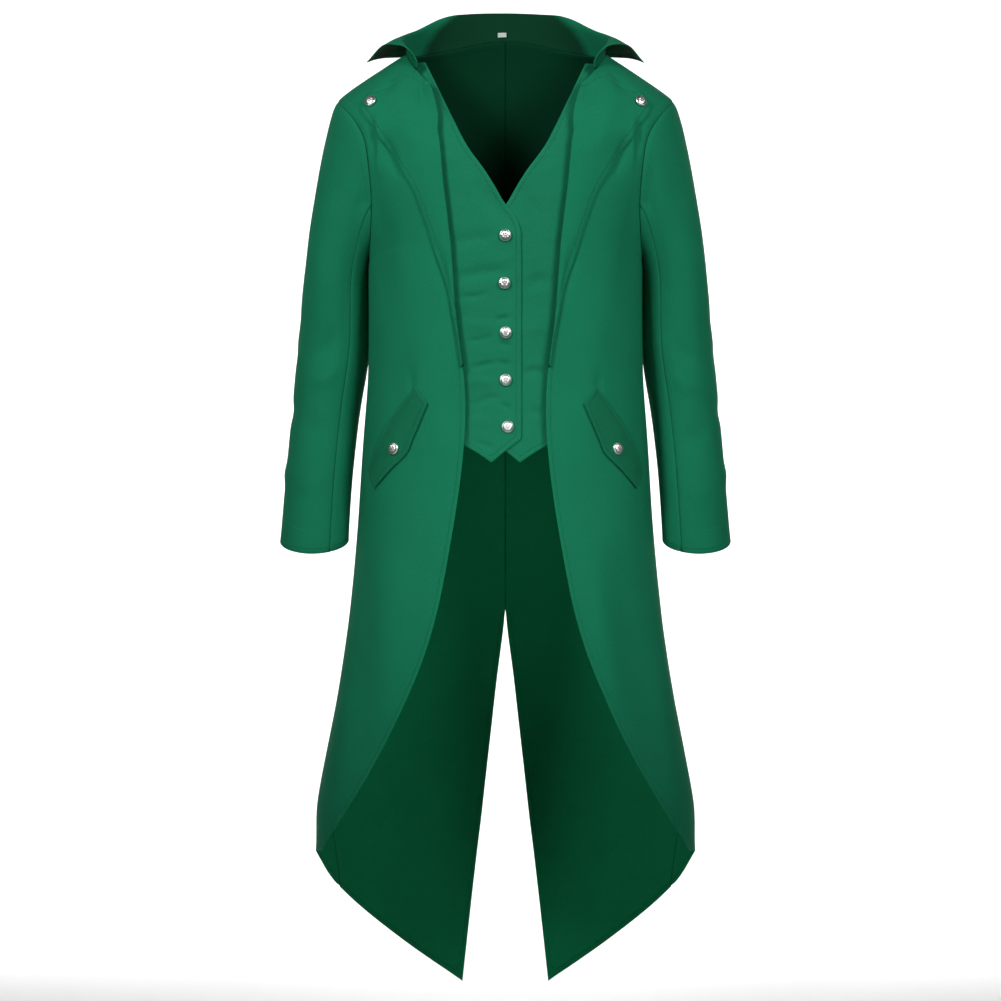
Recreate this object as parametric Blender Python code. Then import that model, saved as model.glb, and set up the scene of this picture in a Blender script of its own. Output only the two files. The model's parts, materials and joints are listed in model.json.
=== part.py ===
"""A tailcoat with a false waistcoat front, hollow and filled out as on a general figure.

Metres, +Z up, +X to the viewer's right, -Y towards the viewer. The origin lies between the shoulders, at the
height where the coat rests on its wearer. Every panel is drawn on one body surface, which runs through the
horizontal rings below, and is given a wall by moving its points inwards along that surface's normals. A place
on the surface is a pair: the angle round the body (0 at the front, 90 degrees at the side, 180 at the back)
and the ring number, counted down from the throat.
"""

from collections import namedtuple

import bpy
import numpy as np

MM = 0.001
QUARTER = np.pi / 2
HALF = np.pi
STEP = 1e-4

# The front elevation: its sizes are true at the shoulders, and nearer cloth looks larger in it.
EYE_DISTANCE = 3.6
EYE_HEIGHT = -0.5825

# Cloth, seams and layers
COAT_WALL = 1.8 * MM
LAPEL_WALL = 1.6 * MM
WAISTCOAT_WALL = 1.5 * MM
LABEL_WALL = 1.0 * MM
SEAM_GAP = 0.3 * MM
LAYER_GAP = 0.7 * MM
LAPEL_LOFT = 2.0 * MM
FLAP_LOFT = 1.0 * MM
WAISTCOAT_GAP = 0.9 * MM
WAISTCOAT_DEPTH = 5.5 * MM
WAISTCOAT_INSET = 12.0 * MM

Ring = namedtuple("Ring", "name z_front z_side z_back half_width depth_front depth_back square")
RINGS = (
    Ring("throat", -60, 50, 75, 78, 80, 62, 2.4),
    Ring("neckline", -110, 10, 42, 132, 103.5, 92, 3.0),
    Ring("yoke", -142, -40.5, -28, 206.5, 120, 113, 2.4),
    Ring("shoulder", -160, -54.5, -50, 223, 123, 118, 2.3),
    Ring("sleeve head", -178, -78, -80, 236, 124, 123, 2.3),
    Ring("arm", -198, -122, -125, 231, 124, 127, 2.3),
    Ring("blades", -232, -195, -195, 202, 124, 127, 2.3),
    Ring("underarm", -270, -270, -270, 181.8, 122, 121, 2.4),
    Ring("midriff", -340, -340, -340, 181.6, 118, 106, 2.4),
    Ring("waist", -410, -410, -410, 182.5, 117, 97, 2.4),
    Ring("hip", -510, -510, -510, 189.5, 123, 108, 2.4),
    Ring("seat", -630, -630, -630, 197, 130, 128, 2.4),
    Ring("thigh", -760, -760, -760, 209, 132, 130, 2.4),
    Ring("knee", -890, -890, -890, 231, 134, 131, 2.4),
    Ring("skirt", -995, -995, -995, 250.5, 136, 132, 2.4),
    Ring("hem", -1060, -1060, -1060, 252, 137, 132, 2.4),
    Ring("tail", -1300, -1300, -1300, 254, 138, 132, 2.4),
)
NECKLINE = 1.0
SHOULDER = 3.0
UNDERARM = 7.0

# Soft folds that hang in the cloth: angle and width in degrees round the body, ends and depth in mm
Fold = namedtuple("Fold", "name angle width z_top z_bottom depth")
FOLDS = (
    Fold("forepart drape", 50, 9.0, -620, -1030, 4.0),
    Fold("side drape", 78, 8.0, -620, -1060, 3.5),
    Fold("back drape", 122, 10.0, -560, -1180, 5.0),
    Fold("tail drape", 154, 10.0, -640, -1230, 4.5),
)
FOLD_FADE = 0.75

# Outlines in the front elevation: half widths from the centre line and heights, in mm
Mark = namedtuple("Mark", "x z")
FRONT_EDGE = (
    Mark(107.6, -15.9),
    Mark(101.1, -29.2),
    Mark(96.0, -46.0),
    Mark(93.5, -73.1),
    Mark(89.1, -118.3),
    Mark(84.9, -159.6),
    Mark(79.1, -203.5),
    Mark(73.0, -254.0),
    Mark(67.2, -324.5),
    Mark(58.4, -393.6),
    Mark(53.6, -440.0),
    Mark(55.4, -502.7),
    Mark(60.5, -555.9),
    Mark(67.2, -602.5),
    Mark(75.1, -649.0),
    Mark(94.0, -742.1),
    Mark(112.8, -800.6),
    Mark(150.2, -885.7),
    Mark(195.0, -968.2),
    Mark(217.3, -1005.4),
)
EDGE_FOOT_ANGLE = 78.0
EDGE_FOOT_HEIGHT = -1042.7
SIDE_HEM_HEIGHT = -1050.0
DRIFT_START = 9.0
SIDE_HEM_ANGLE = 108.0
TAIL_HEM = (
    Mark(228.5, -1087.9),
    Mark(198.8, -1117.2),
    Mark(161.6, -1147.8),
    Mark(124.4, -1175.7),
    Mark(90.0, -1199.5),
)
VENT_TOP = -724.8
VENT_SPREAD = 0.1145
TAIL_POINT = -1222.0
NECK_POINT_ANGLE = 59.0

LAPEL_TOP = (Mark(133.7, -17.2), Mark(156.0, -29.0), Mark(178.9, -41.2))
LAPEL_EDGE = (
    Mark(178.9, -41.2),
    Mark(192.2, -62.5),
    Mark(178.9, -82.4),
    Mark(161.6, -107.7),
    Mark(143.0, -137.0),
    Mark(131.8, -154.0),
    Mark(120.4, -175.5),
    Mark(113.2, -195.5),
    Mark(103.6, -221.0),
    Mark(93.8, -254.0),
    Mark(77.8, -304.5),
    Mark(64.5, -367.0),
    Mark(59.8, -404.0),
)
LAPEL_FOOT_WIDTH = 2.5
LAPEL_CLEARANCE = 0.015

FLAP_SEWN_EDGE = (Mark(119.6, -432.3), Mark(152.3, -474.8), Mark(175.0, -518.1), Mark(182.5, -545.0))
FLAP_FREE_EDGE = (Mark(101.5, -455.1), Mark(130.9, -520.9), Mark(172.6, -567.1))

WAISTCOAT_NECK = (
    Mark(108.5, 6.0),
    Mark(102.4, -4.0),
    Mark(97.0, -17.0),
    Mark(82.5, -43.0),
    Mark(67.0, -74.5),
    Mark(50.5, -107.7),
    Mark(25.5, -146.0),
    Mark(0.0, -188.8),
    Mark(-10.6, -202.1),
    Mark(-19.3, -216.7),
)
WAISTCOAT_OVERLAP = -20.6
WAISTCOAT_CORNER = -500.0
WAISTCOAT_POINT = Mark(19.5, -531.8)
WAISTCOAT_HEM = (Mark(55.0, -508.0), Mark(110.0, -500.0), Mark(165.0, -498.0))

BUTTON_RADIUS = 8.0 * MM
BUTTON_RISE = 4.6 * MM
BUTTON_SIDES = 12
BUTTON_PROFILE = ((0.9, 0.0), (1.0, 0.2), (0.94, 0.45), (0.62, 0.84), (0.25, 1.0))
WAISTCOAT_BUTTONS = (
    Mark(-0.4, -229.8),
    Mark(-1.7, -293.6),
    Mark(0.1, -359.3),
    Mark(-0.1, -422.0),
    Mark(2.8, -484.2),
)
LAPEL_BUTTON = Mark(178.0, -54.0)
LAPEL_BUTTON_LOFT = 0.75 * MM
FLAP_BUTTON = Mark(146.9, -514.4)
FLAP_BUTTON_LOFT = 0.65 * MM

# The sleeve below its head: level sections, in mm, whose front rim is lower by the drop
Section = namedtuple("Section", "name z x_in x_out y_mid half_depth drop")
SECTIONS = (
    Section("upper arm", -300, 181.0, 270.5, 20, 66, 0),
    Section("above elbow", -376, 181.4, 277.5, 24, 60, 0),
    Section("elbow", -462, 193.8, 285.5, 18, 54, 0),
    Section("forearm", -550, 203.0, 292.0, 2, 50, 4),
    Section("cuff", -636, 208.0, 298.5, -14, 47, 17),
)
ARMHOLE_FRONT = 0.45
ARMHOLE_BACK = 0.40
SLEEVE_LINES = 24
FRONT_SEAM_LINE = 8
HIND_SEAM_LINE = 16
SLEEVE_RADIUS = 0.05
HEAD_FULLNESS = 0.25
HEAD_ROWS = 7
ARM_ROWS = 9

# How finely the panels are divided
PANEL_COLUMNS = 10
SHOULDER_ROWS = 5
SIDE_ROWS = 16
WAISTCOAT_COLUMNS = 8
LAPEL_COLUMNS = 6
COLLAR_COLUMNS = 31
COLLAR_ROWS = 10

# Collar stations, right half: angle round the neck, then the crest, the fall's middle and its edge, in mm
Station = namedtuple("Station", "angle crest_x crest_y crest_z fall_x fall_y fall_z edge_x edge_y edge_z")
STATIONS = (
    Station(59, 135, -66, 9.5, 156, -50, 14, 182, -32, -7),
    Station(74, 141, -36, 23, 162, -19, 17, 175, -3, 1),
    Station(92, 137, 4, 34, 154, 16, 26, 163, 29, 9),
    Station(118, 114, 48, 51, 130, 60, 40, 140, 71, 17),
    Station(148, 69, 81, 75.5, 80, 97, 58, 87, 108, 26),
    Station(180, 0, 98, 82, 0, 116, 64, 0, 127, 30),
)
COLLAR_LIFT = 7.0 * MM
COLLAR_MAX_LEAN = 1.2
LABEL_WIDTH = 12.0 * MM
COLLAR_WALL = 1.6 * MM
COLLAR_GAP = 0.7 * MM
LABEL_PLACE = (0.05, 0.11)
LABEL_SHIFT = 4.5 * MM

COLOURS = {
    "coat cloth": (0.012, 0.160, 0.082),
    "waistcoat cloth": (0.014, 0.175, 0.092),
    "flap cloth": (0.009, 0.130, 0.063),
    "button metal": (0.62, 0.66, 0.62),
    "label": (0.55, 0.60, 0.57),
}


def clear_scene():
    """Remove the objects that the file opened with."""
    for item in list(bpy.data.objects):
        bpy.data.objects.remove(item, do_unlink=True)


def make_material(name, metallic=0.0, roughness=0.85):
    """A Principled material in one of the coat's colours."""
    material = bpy.data.materials.new(name)
    material.use_nodes = True
    shader = material.node_tree.nodes["Principled BSDF"]
    shader.inputs["Base Color"].default_value = (*COLOURS[name], 1.0)
    shader.inputs["Metallic"].default_value = metallic
    shader.inputs["Roughness"].default_value = roughness
    return material


def smooth(places, knots, values):
    """A curve through values at knots that never overshoots them, read at places."""
    knots = np.asarray(knots, float)
    values = np.asarray(values, float)
    spans = np.diff(knots)
    rises = np.diff(values) / spans
    slopes = np.zeros_like(values)
    slopes[0] = rises[0]
    slopes[-1] = rises[-1]
    before, after = rises[:-1], rises[1:]
    turning = before * after <= 0
    total = np.where(turning, 1.0, before + after)
    slopes[1:-1] = np.where(turning, 0.0, 2 * before * after / total)
    places = np.asarray(places, float)
    index = np.clip(np.searchsorted(knots, places, side="right") - 1, 0, len(spans) - 1)
    t = (places - knots[index]) / spans[index]
    span = spans[index]
    return (
        (1 + 2 * t) * (1 - t) ** 2 * values[index]
        + t * (1 - t) ** 2 * span * slopes[index]
        + t * t * (3 - 2 * t) * values[index + 1]
        - t * t * (1 - t) * span * slopes[index + 1]
    )


def unit(vectors):
    """Vectors of length 1."""
    return vectors / np.linalg.norm(vectors, axis=-1, keepdims=True)


RING_NUMBERS = np.arange(len(RINGS))
RING_COLUMNS = {
    column: np.array([getattr(ring, column) for ring in RINGS], float) for column in Ring._fields[1:]
}


def ring_value(column, rows):
    """One column of the ring table, read between the rings."""
    return smooth(rows, RING_NUMBERS, RING_COLUMNS[column])


def body(angles, rows):
    """The coat's outer surface at angles round the body and ring numbers."""
    angles, rows = np.broadcast_arrays(np.asarray(angles, float), np.asarray(rows, float))
    across, along = np.sin(angles), np.cos(angles)
    ahead = along > 0
    depth = np.where(ahead, ring_value("depth_front", rows), ring_value("depth_back", rows)) * MM
    end_height = np.where(ahead, ring_value("z_front", rows), ring_value("z_back", rows))
    side_height = ring_value("z_side", rows)
    half_width = ring_value("half_width", rows) * MM
    power = ring_value("square", rows)
    radius = (np.abs(across / half_width) ** power + np.abs(along / depth) ** power) ** (-1 / power)
    height = side_height + (end_height - side_height) * along**2
    for fold in FOLDS:
        middle = (fold.z_top + fold.z_bottom) / 2
        reach = (fold.z_top - fold.z_bottom) / 2
        fade = np.exp(-(((height - middle) / (FOLD_FADE * reach)) ** 4))
        ripple = np.exp(-(((np.degrees(np.abs(angles)) - fold.angle) / fold.width) ** 2))
        radius = radius + fold.depth * MM * fade * ripple
    return np.stack([radius * across, -radius * along, height * MM], axis=-1)


def body_normal(angles, rows):
    """The outward normals of the body surface."""
    angles, rows = np.broadcast_arrays(np.asarray(angles, float), np.asarray(rows, float))
    round_body = body(angles + STEP, rows) - body(angles - STEP, rows)
    down_body = body(angles, rows + STEP) - body(angles, rows - STEP)
    return unit(np.cross(down_body, round_body))


def elevation(points):
    """Where points show in the front elevation."""
    scale = 1 + points[..., 1] / EYE_DISTANCE
    across = points[..., 0] / scale
    height = EYE_HEIGHT + (points[..., 2] - EYE_HEIGHT) / scale
    return np.stack([across, height], axis=-1)


def find_places(marks, behind=False):
    """The angle and ring number of each mark of the front elevation, on the front or the back of the body."""
    wanted = np.array([[mark.x, mark.z] for mark in marks]) * MM
    angles = np.linspace(-0.4, QUARTER, 60)
    if behind:
        angles = np.linspace(QUARTER, HALF, 60)
    rows = np.linspace(0, len(RINGS) - 1, 200)
    angle_grid, row_grid = np.meshgrid(angles, rows)
    shown = elevation(body(angle_grid, row_grid))
    found = []
    for mark in wanted:
        nearest = np.argmin(((shown - mark) ** 2).sum(axis=-1))
        found.append((angle_grid.flat[nearest], row_grid.flat[nearest]))
    found = np.array(found)
    for _ in range(12):
        here = elevation(body(found[:, 0], found[:, 1]))
        by_angle = (elevation(body(found[:, 0] + STEP, found[:, 1])) - here) / STEP
        by_row = (elevation(body(found[:, 0], found[:, 1] + STEP)) - here) / STEP
        matrix = np.stack([by_angle, by_row], axis=-1)
        step = np.linalg.solve(matrix, (wanted - here)[..., None])[..., 0]
        found = found + np.clip(step, -0.1, 0.1)
    return found


def row_at_height(angle, height_mm):
    """The ring number at which the body surface has a height, at one angle."""
    rows = np.linspace(0, len(RINGS) - 1, 3000)
    heights = body(np.full_like(rows, angle), rows)[:, 2]
    return float(np.interp(-height_mm * MM, -heights, rows))


def spread(points, count):
    """Points evenly spaced along a smooth curve through given pairs."""
    points = np.asarray(points, float)
    scaled = points * (1.0, 0.12)
    steps = np.linalg.norm(np.diff(scaled, axis=0), axis=1)
    length = np.concatenate([[0], np.cumsum(steps)])
    wanted = np.linspace(0, length[-1], count)
    return np.stack([smooth(wanted, length, points[:, i]) for i in range(2)], axis=-1)


def chain(*runs):
    """Several runs of points joined end to end."""
    parts = [np.asarray(runs[0], float)]
    parts += [np.asarray(run, float)[1:] for run in runs[1:]]
    return np.concatenate(parts)


def straight(start, end, count):
    """Evenly spaced pairs on the line between two pairs."""
    t = np.linspace(0, 1, count)[:, None]
    return np.asarray(start, float) * (1 - t) + np.asarray(end, float) * t


def patch(left, right, top, bottom):
    """A grid of surface places inside four boundary curves, top row first."""
    u = np.linspace(0, 1, len(top))[None, :, None]
    t = np.linspace(0, 1, len(left))[:, None, None]
    sides = left[:, None] * (1 - u) + right[:, None] * u
    ends = top[None] * (1 - t) + bottom[None] * t
    corners = (left[0] * (1 - u) + right[0] * u) * (1 - t) + (left[-1] * (1 - u) + right[-1] * u) * t
    return sides + ends - corners


def closed_wall(name, outer, inner, material, side=1.0):
    """A closed wall between two grids of points: their faces and a rim round the edge."""
    rows, columns = outer.shape[:2]
    points = np.concatenate([outer.reshape(-1, 3), inner.reshape(-1, 3)]) * (side, 1.0, 1.0)
    layer = rows * columns
    faces = []

    def rim(first, second):
        faces.append([first, second, second + layer, first + layer])

    for row in range(rows - 1):
        for column in range(columns - 1):
            near = row * columns + column
            far = near + columns
            face = [near, near + 1, far + 1, far]
            faces.append(face)
            faces.append([index + layer for index in reversed(face)])
    last = (rows - 1) * columns
    for column in range(columns - 1):
        rim(column + 1, column)
        rim(last + column, last + column + 1)
    for row in range(rows - 1):
        near = row * columns
        rim(near, near + columns)
        rim(near + 2 * columns - 1, near + columns - 1)
    return add_object(name, points, faces, material)


def signed_volume(points, faces):
    """Six times the volume that faces enclose, negative when they point inwards."""
    total = 0.0
    for face in faces:
        first = points[face[0]]
        for a, b in zip(face[1:-1], face[2:]):
            total += float(np.dot(first, np.cross(points[a], points[b])))
    return total


def add_object(name, points, faces, material):
    """A named object from points and faces, turned to point outwards and shaded smooth."""
    if signed_volume(points, faces) < 0:
        faces = [face[::-1] for face in faces]
    mesh = bpy.data.meshes.new(name)
    mesh.from_pydata([tuple(point) for point in points], [], faces)
    mesh.materials.append(material)
    mesh.shade_smooth()
    mesh.set_sharp_from_angle(angle=np.radians(50))
    item = bpy.data.objects.new(name, mesh)
    bpy.context.scene.collection.objects.link(item)
    return item


def seam_shift(angle, row):
    """The angle that moves a seam's edge by half the seam's gap."""
    return SEAM_GAP / 2 / np.linalg.norm(body(angle, row)[..., :2], axis=-1)


def armhole(turns):
    """The armhole's edge: places at turns round it from its top, forwards first."""
    turns = np.asarray(turns, float)
    rows = SHOULDER + (UNDERARM - SHOULDER) * (1 - np.cos(turns)) / 2
    reach = np.where(np.sin(turns) > 0, ARMHOLE_FRONT, ARMHOLE_BACK)
    return np.stack([QUARTER - reach * np.sin(turns), rows], axis=-1)


def hem_table():
    """Knots of the hem from the foot of the front edge to the tail point: angles and ring numbers."""
    foot = np.radians(EDGE_FOOT_ANGLE)
    behind = find_places([*TAIL_HEM, tail_mark()], behind=True)
    angles = [foot, QUARTER, *behind[:, 0]]
    rows = [row_at_height(foot, EDGE_FOOT_HEIGHT), row_at_height(QUARTER, SIDE_HEM_HEIGHT), *behind[:, 1]]
    return np.array(angles), np.array(rows)


def tail_mark():
    """The point of a tail in the front elevation."""
    return Mark(VENT_SPREAD * (VENT_TOP - TAIL_POINT), TAIL_POINT)


def hem_run(first, last, count):
    """Places along the hem between two angles."""
    knots, rows = hem_table()
    angles = np.linspace(first, last, count)
    return np.stack([angles, smooth(angles, knots, rows)], axis=-1)


def side_angles(rows):
    """The side seam's angle, which drifts back from the waist to the hem."""
    hem_row = hem_run(np.radians(SIDE_HEM_ANGLE), HALF, 2)[0, 1]
    t = np.clip((rows - DRIFT_START) / (hem_row - DRIFT_START), 0, 1)
    return QUARTER + (np.radians(SIDE_HEM_ANGLE) - QUARTER) * t * t


def side_edge(front, hem_row):
    """A panel's outer edge from the neck: shoulder seam, armhole, then side seam."""
    seam = 1 if front else -1
    shoulder_rows = np.linspace(NECKLINE, SHOULDER, SHOULDER_ROWS)
    side_rows = np.linspace(UNDERARM, hem_row, SIDE_ROWS)
    shoulder = np.stack([np.full(SHOULDER_ROWS, QUARTER), shoulder_rows], axis=-1)
    hole = armhole(seam * np.linspace(0, HALF, SLEEVE_LINES // 2 + 1))
    hole[[0, -1], 0] = QUARTER
    side = np.stack([side_angles(side_rows), side_rows], axis=-1)
    edge = chain(shoulder, hole, side)
    edge[:, 0] -= seam * seam_shift(edge[:, 0], edge[:, 1])
    return edge


def matched(places, partner):
    """An edge through places, with a point beside each point of the edge across the panel."""
    share = (partner[:, 1] - partner[0, 1]) / (partner[-1, 1] - partner[0, 1])
    rows = places[0, 1] + (places[-1, 1] - places[0, 1]) * share
    return np.stack([smooth(rows, places[:, 1], places[:, 0]), rows], axis=-1)


def front_edge_places():
    """The coat's front edge from the neck point to its foot."""
    foot = np.radians(EDGE_FOOT_ANGLE)
    ends = [(np.radians(NECK_POINT_ANGLE), NECKLINE)], [(foot, row_at_height(foot, EDGE_FOOT_HEIGHT))]
    return np.concatenate([ends[0], find_places(FRONT_EDGE), ends[1]])


def wall_inwards(name, places, wall, material, side, lift=0.0):
    """A wall whose outer face is the body surface at places, moved out by a lift."""
    surface = body(places[..., 0], places[..., 1])
    normals = body_normal(places[..., 0], places[..., 1])
    lift = np.broadcast_to(lift, surface.shape[:2])[..., None]
    return closed_wall(name, surface + lift * normals, surface + (lift - wall) * normals, material, side)


def build_front(name, side, material):
    """A forepart, cut away from the waist in one sweep to the side seam."""
    seam = np.radians(SIDE_HEM_ANGLE)
    hem = hem_run(np.radians(EDGE_FOOT_ANGLE), seam, PANEL_COLUMNS)
    outer_edge = side_edge(True, hem[-1, 1])
    hem[-1] = outer_edge[-1]
    inner_edge = matched(front_edge_places(), outer_edge)
    top = straight(inner_edge[0], outer_edge[0], PANEL_COLUMNS)
    return wall_inwards(name, patch(inner_edge, outer_edge, top, hem), COAT_WALL, material, side)


def build_back(name, side, material):
    """A back with half the centre seam, the vent's edge and a pointed tail."""
    seam = np.radians(SIDE_HEM_ANGLE)
    vent_heights = np.linspace(VENT_TOP, TAIL_POINT, 9)
    vent = find_places([Mark(VENT_SPREAD * (VENT_TOP - z), z) for z in vent_heights], behind=True)
    centre = np.array([(HALF, NECKLINE), (HALF, SHOULDER), (HALF, UNDERARM)])
    centre = np.concatenate([centre, vent])
    hem = hem_run(vent[-1, 0], seam, PANEL_COLUMNS)
    outer_edge = side_edge(False, hem[-1, 1])
    hem[-1] = outer_edge[-1]
    inner_edge = matched(centre, outer_edge)
    inner_edge[:, 0] -= seam_shift(inner_edge[:, 0], inner_edge[:, 1])
    hem[0] = inner_edge[-1]
    top = straight(inner_edge[0], outer_edge[0], PANEL_COLUMNS)
    return wall_inwards(name, patch(inner_edge, outer_edge, top, hem), COAT_WALL, material, side)


def waistcoat_depths(columns, under):
    """How far the waistcoat hangs inside the coat's outer face, from its front edge to its side seam."""
    share = np.clip((1 - np.linspace(0, 1, columns)) / 0.35, 0, 1)
    share = share * share * (3 - 2 * share)
    depth = WAISTCOAT_DEPTH + (WAISTCOAT_WALL + LAYER_GAP if under else 0.0)
    return -(COAT_WALL + WAISTCOAT_GAP + depth * share)


def build_waistcoat(name, side, under, material):
    """A false waistcoat front, caught in the shoulder, the armhole and the side seam."""
    heights = np.linspace(WAISTCOAT_NECK[-1].z, WAISTCOAT_CORNER, 8)[1:]
    overlap = [Mark(WAISTCOAT_OVERLAP, z) for z in heights]
    edge = find_places([*WAISTCOAT_NECK, *overlap])
    hem_marks = find_places(WAISTCOAT_HEM)
    side_row = row_at_height(QUARTER, WAISTCOAT_HEM[-1].z)
    outer_edge = side_edge(True, side_row)[1:]
    inset = WAISTCOAT_INSET / np.linalg.norm(body(outer_edge[:, 0], outer_edge[:, 1])[:, :2], axis=-1)
    outer_edge[:, 0] -= inset
    inner_edge = matched(edge, outer_edge)
    point = find_places([WAISTCOAT_POINT])[0]
    rest = np.concatenate([[point], hem_marks[:-1], [outer_edge[-1]]])
    hem = chain(straight(inner_edge[-1], point, 4), spread(rest, WAISTCOAT_COLUMNS - 3))
    top = straight(inner_edge[0], outer_edge[0], WAISTCOAT_COLUMNS)
    places = patch(inner_edge, outer_edge, top, hem)
    lift = waistcoat_depths(WAISTCOAT_COLUMNS, under)[None, :]
    return wall_inwards(name, places, WAISTCOAT_WALL, material, side, lift)


def lapel_places():
    """The lapel from its roll at the front edge to its outer edge, and from its top to its foot."""
    hem_row = hem_run(np.radians(SIDE_HEM_ANGLE), HALF, 2)[0, 1]
    fold = matched(front_edge_places(), side_edge(True, hem_row))
    foot = find_places([Mark(LAPEL_EDGE[-1].x - LAPEL_FOOT_WIDTH, LAPEL_EDGE[-1].z)])[0]
    inner = np.concatenate([fold[fold[:, 1] < foot[1] - LAPEL_CLEARANCE], [foot]])
    inner[0] += (LAPEL_CLEARANCE, LAPEL_CLEARANCE)
    edge = find_places(LAPEL_EDGE)
    corner = straight(edge[0], edge[1], 3), straight(edge[1], edge[2], 3)
    outer = chain(*corner, spread(edge[2:], len(inner) - 4))
    top = spread(np.concatenate([fold[:1], find_places(LAPEL_TOP)]), LAPEL_COLUMNS)
    bottom = straight(inner[-1], outer[-1], LAPEL_COLUMNS)
    return patch(inner, outer, top, bottom)


def lapel_lift(columns):
    """How far the lapel's outer face stands off the forepart, across the lapel."""
    return LAYER_GAP + LAPEL_WALL + LAPEL_LOFT * np.sin(np.linspace(0, HALF, columns))


def build_lapel(name, side, material):
    """A wide lapel, turned back along the front edge and buttoned at the shoulder."""
    places = lapel_places()
    return wall_inwards(name, places, LAPEL_WALL, material, side, lapel_lift(places.shape[1])[None, :])


def build_flap(name, side, material):
    """A slanting pocket flap with a pointed free edge."""
    sewn = spread(find_places(FLAP_SEWN_EDGE), 9)
    free = find_places(FLAP_FREE_EDGE)
    free = chain(straight(free[0], free[1], 6), straight(free[1], free[2], 4))
    places = patch(sewn, free, straight(sewn[0], free[0], 5), straight(sewn[-1], free[-1], 5))
    lift = LAYER_GAP + LAPEL_WALL + FLAP_LOFT * np.linspace(0, 1, 5)
    return wall_inwards(name, places, LAPEL_WALL, material, side, lift[None, :])


def hole_frame(turns):
    """At the armhole's edge: its point, the way into the hole along the body, and the body's normal."""
    places = armhole(turns)
    ahead, behind = armhole(turns + STEP), armhole(turns - STEP)
    point = body(places[..., 0], places[..., 1])
    along = unit(body(ahead[..., 0], ahead[..., 1]) - body(behind[..., 0], behind[..., 1]))
    normal = body_normal(places[..., 0], places[..., 1])
    inward = np.cross(along, normal)
    centre = body(QUARTER, (SHOULDER + UNDERARM) / 2)
    sign = np.sign(((centre - point) * inward).sum(axis=-1, keepdims=True))
    return point, unit(inward * sign), normal


def section_point(section, turns):
    """A point of a level sleeve section at turns round it from its outer side."""
    half = (section.x_out - section.x_in) / 2
    across = section.x_in + half + half * np.cos(turns)
    deep = section.y_mid - section.half_depth * np.sin(turns)
    height = section.z - section.drop * np.sin(turns)
    return np.stack([across, deep, height], axis=-1) * MM


def sleeve_surface(turns):
    """The sleeve's outer face: rows from the armhole to the cuff, one column for each turn."""
    point, inward, normal = hole_frame(turns)
    lean = QUARTER * (1 - np.cos(turns))[:, None] / 2
    away = inward * np.cos(lean) + normal * np.sin(lean)
    start = point + SEAM_GAP * away
    knots = np.stack([section_point(section, turns) for section in SECTIONS])
    reach = np.linalg.norm(knots[0] - start, axis=-1, keepdims=True)
    leave = HEAD_FULLNESS * reach * away
    arrive = unit(knots[1] - knots[0]) * reach
    rows = []
    for t in np.linspace(0, 1, HEAD_ROWS)[:-1] ** 1.25:
        rows.append(
            (1 + 2 * t) * (1 - t) ** 2 * start
            + t * (1 - t) ** 2 * leave
            + t * t * (3 - 2 * t) * knots[0]
            - t * t * (1 - t) * arrive
        )
    numbers = np.arange(len(SECTIONS))
    places = np.linspace(0, len(SECTIONS) - 1, ARM_ROWS)
    arm = np.empty((ARM_ROWS, len(turns), 3))
    for column in range(len(turns)):
        for axis in range(3):
            arm[:, column, axis] = smooth(places, numbers, knots[:, column, axis])
    wall_way = normal * np.cos(lean) - inward * np.sin(lean)
    return np.concatenate([np.stack(rows), arm]), wall_way


def build_sleeve(name, side, first, last, material):
    """One part of a sleeve between two of its lengthwise lines."""
    shift = SEAM_GAP / 2 / SLEEVE_RADIUS
    turns = 2 * HALF * np.arange(first, last + 1) / SLEEVE_LINES
    turns[0] += shift
    turns[-1] -= shift
    outer, wall_way = sleeve_surface(turns)
    ahead = sleeve_surface(turns + STEP)[0]
    behind = sleeve_surface(turns - STEP)[0]
    down = np.gradient(outer, axis=0)
    normals = unit(np.cross(ahead - behind, down))
    if (normals[-1, 0] * (outer[-1, 0] - outer[-1].mean(axis=0))).sum() < 0:
        normals = -normals
    normals[0] = wall_way
    return closed_wall(name, outer, outer - COAT_WALL * normals, material, side)


def station_values(angles, columns):
    """Points of the collar's table between its stations, mirrored past the centre back."""
    knots = [np.radians(station.angle) for station in STATIONS]
    knots += [2 * HALF - knot for knot in reversed(knots[:-1])]
    values = []
    for column in columns:
        near = [getattr(station, column) for station in STATIONS]
        sign = -1 if column.endswith("_x") else 1
        values.append(smooth(angles, knots, near + [sign * value for value in reversed(near[:-1])]))
    return np.stack(values, axis=-1) * MM


def collar_under(angles, shares):
    """The collar's under face, at angles round the neck and shares of the way from seam to edge."""
    rows = np.full_like(angles, NECKLINE)
    base = body(angles, rows)
    normal = body_normal(angles, rows)
    inward = -unit(body(angles, rows + STEP) - body(angles, rows - STEP))
    crest = station_values(angles, ("crest_x", "crest_y", "crest_z"))
    fall = station_values(angles, ("fall_x", "fall_y", "fall_z"))
    edge = station_values(angles, ("edge_x", "edge_y", "edge_z"))
    rise = crest - base
    lean = np.arctan2((rise * normal).sum(axis=-1), (rise * inward).sum(axis=-1))
    lean = np.clip(lean, 0.0, COLLAR_MAX_LEAN)[:, None]
    start = base + COLLAR_GAP * inward
    lifted = start + COLLAR_LIFT * (inward * np.cos(lean) + normal * np.sin(lean))
    grid = np.empty((len(shares), len(angles), 3))
    for column in range(len(angles)):
        knots = np.stack([start[column], lifted[column], crest[column], fall[column], edge[column]])
        length = np.concatenate([[0], np.cumsum(np.linalg.norm(np.diff(knots, axis=0), axis=1))])
        for axis in range(3):
            grid[:, column, axis] = smooth(np.asarray(shares) * length[-1], length, knots[:, axis])
    return grid


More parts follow.
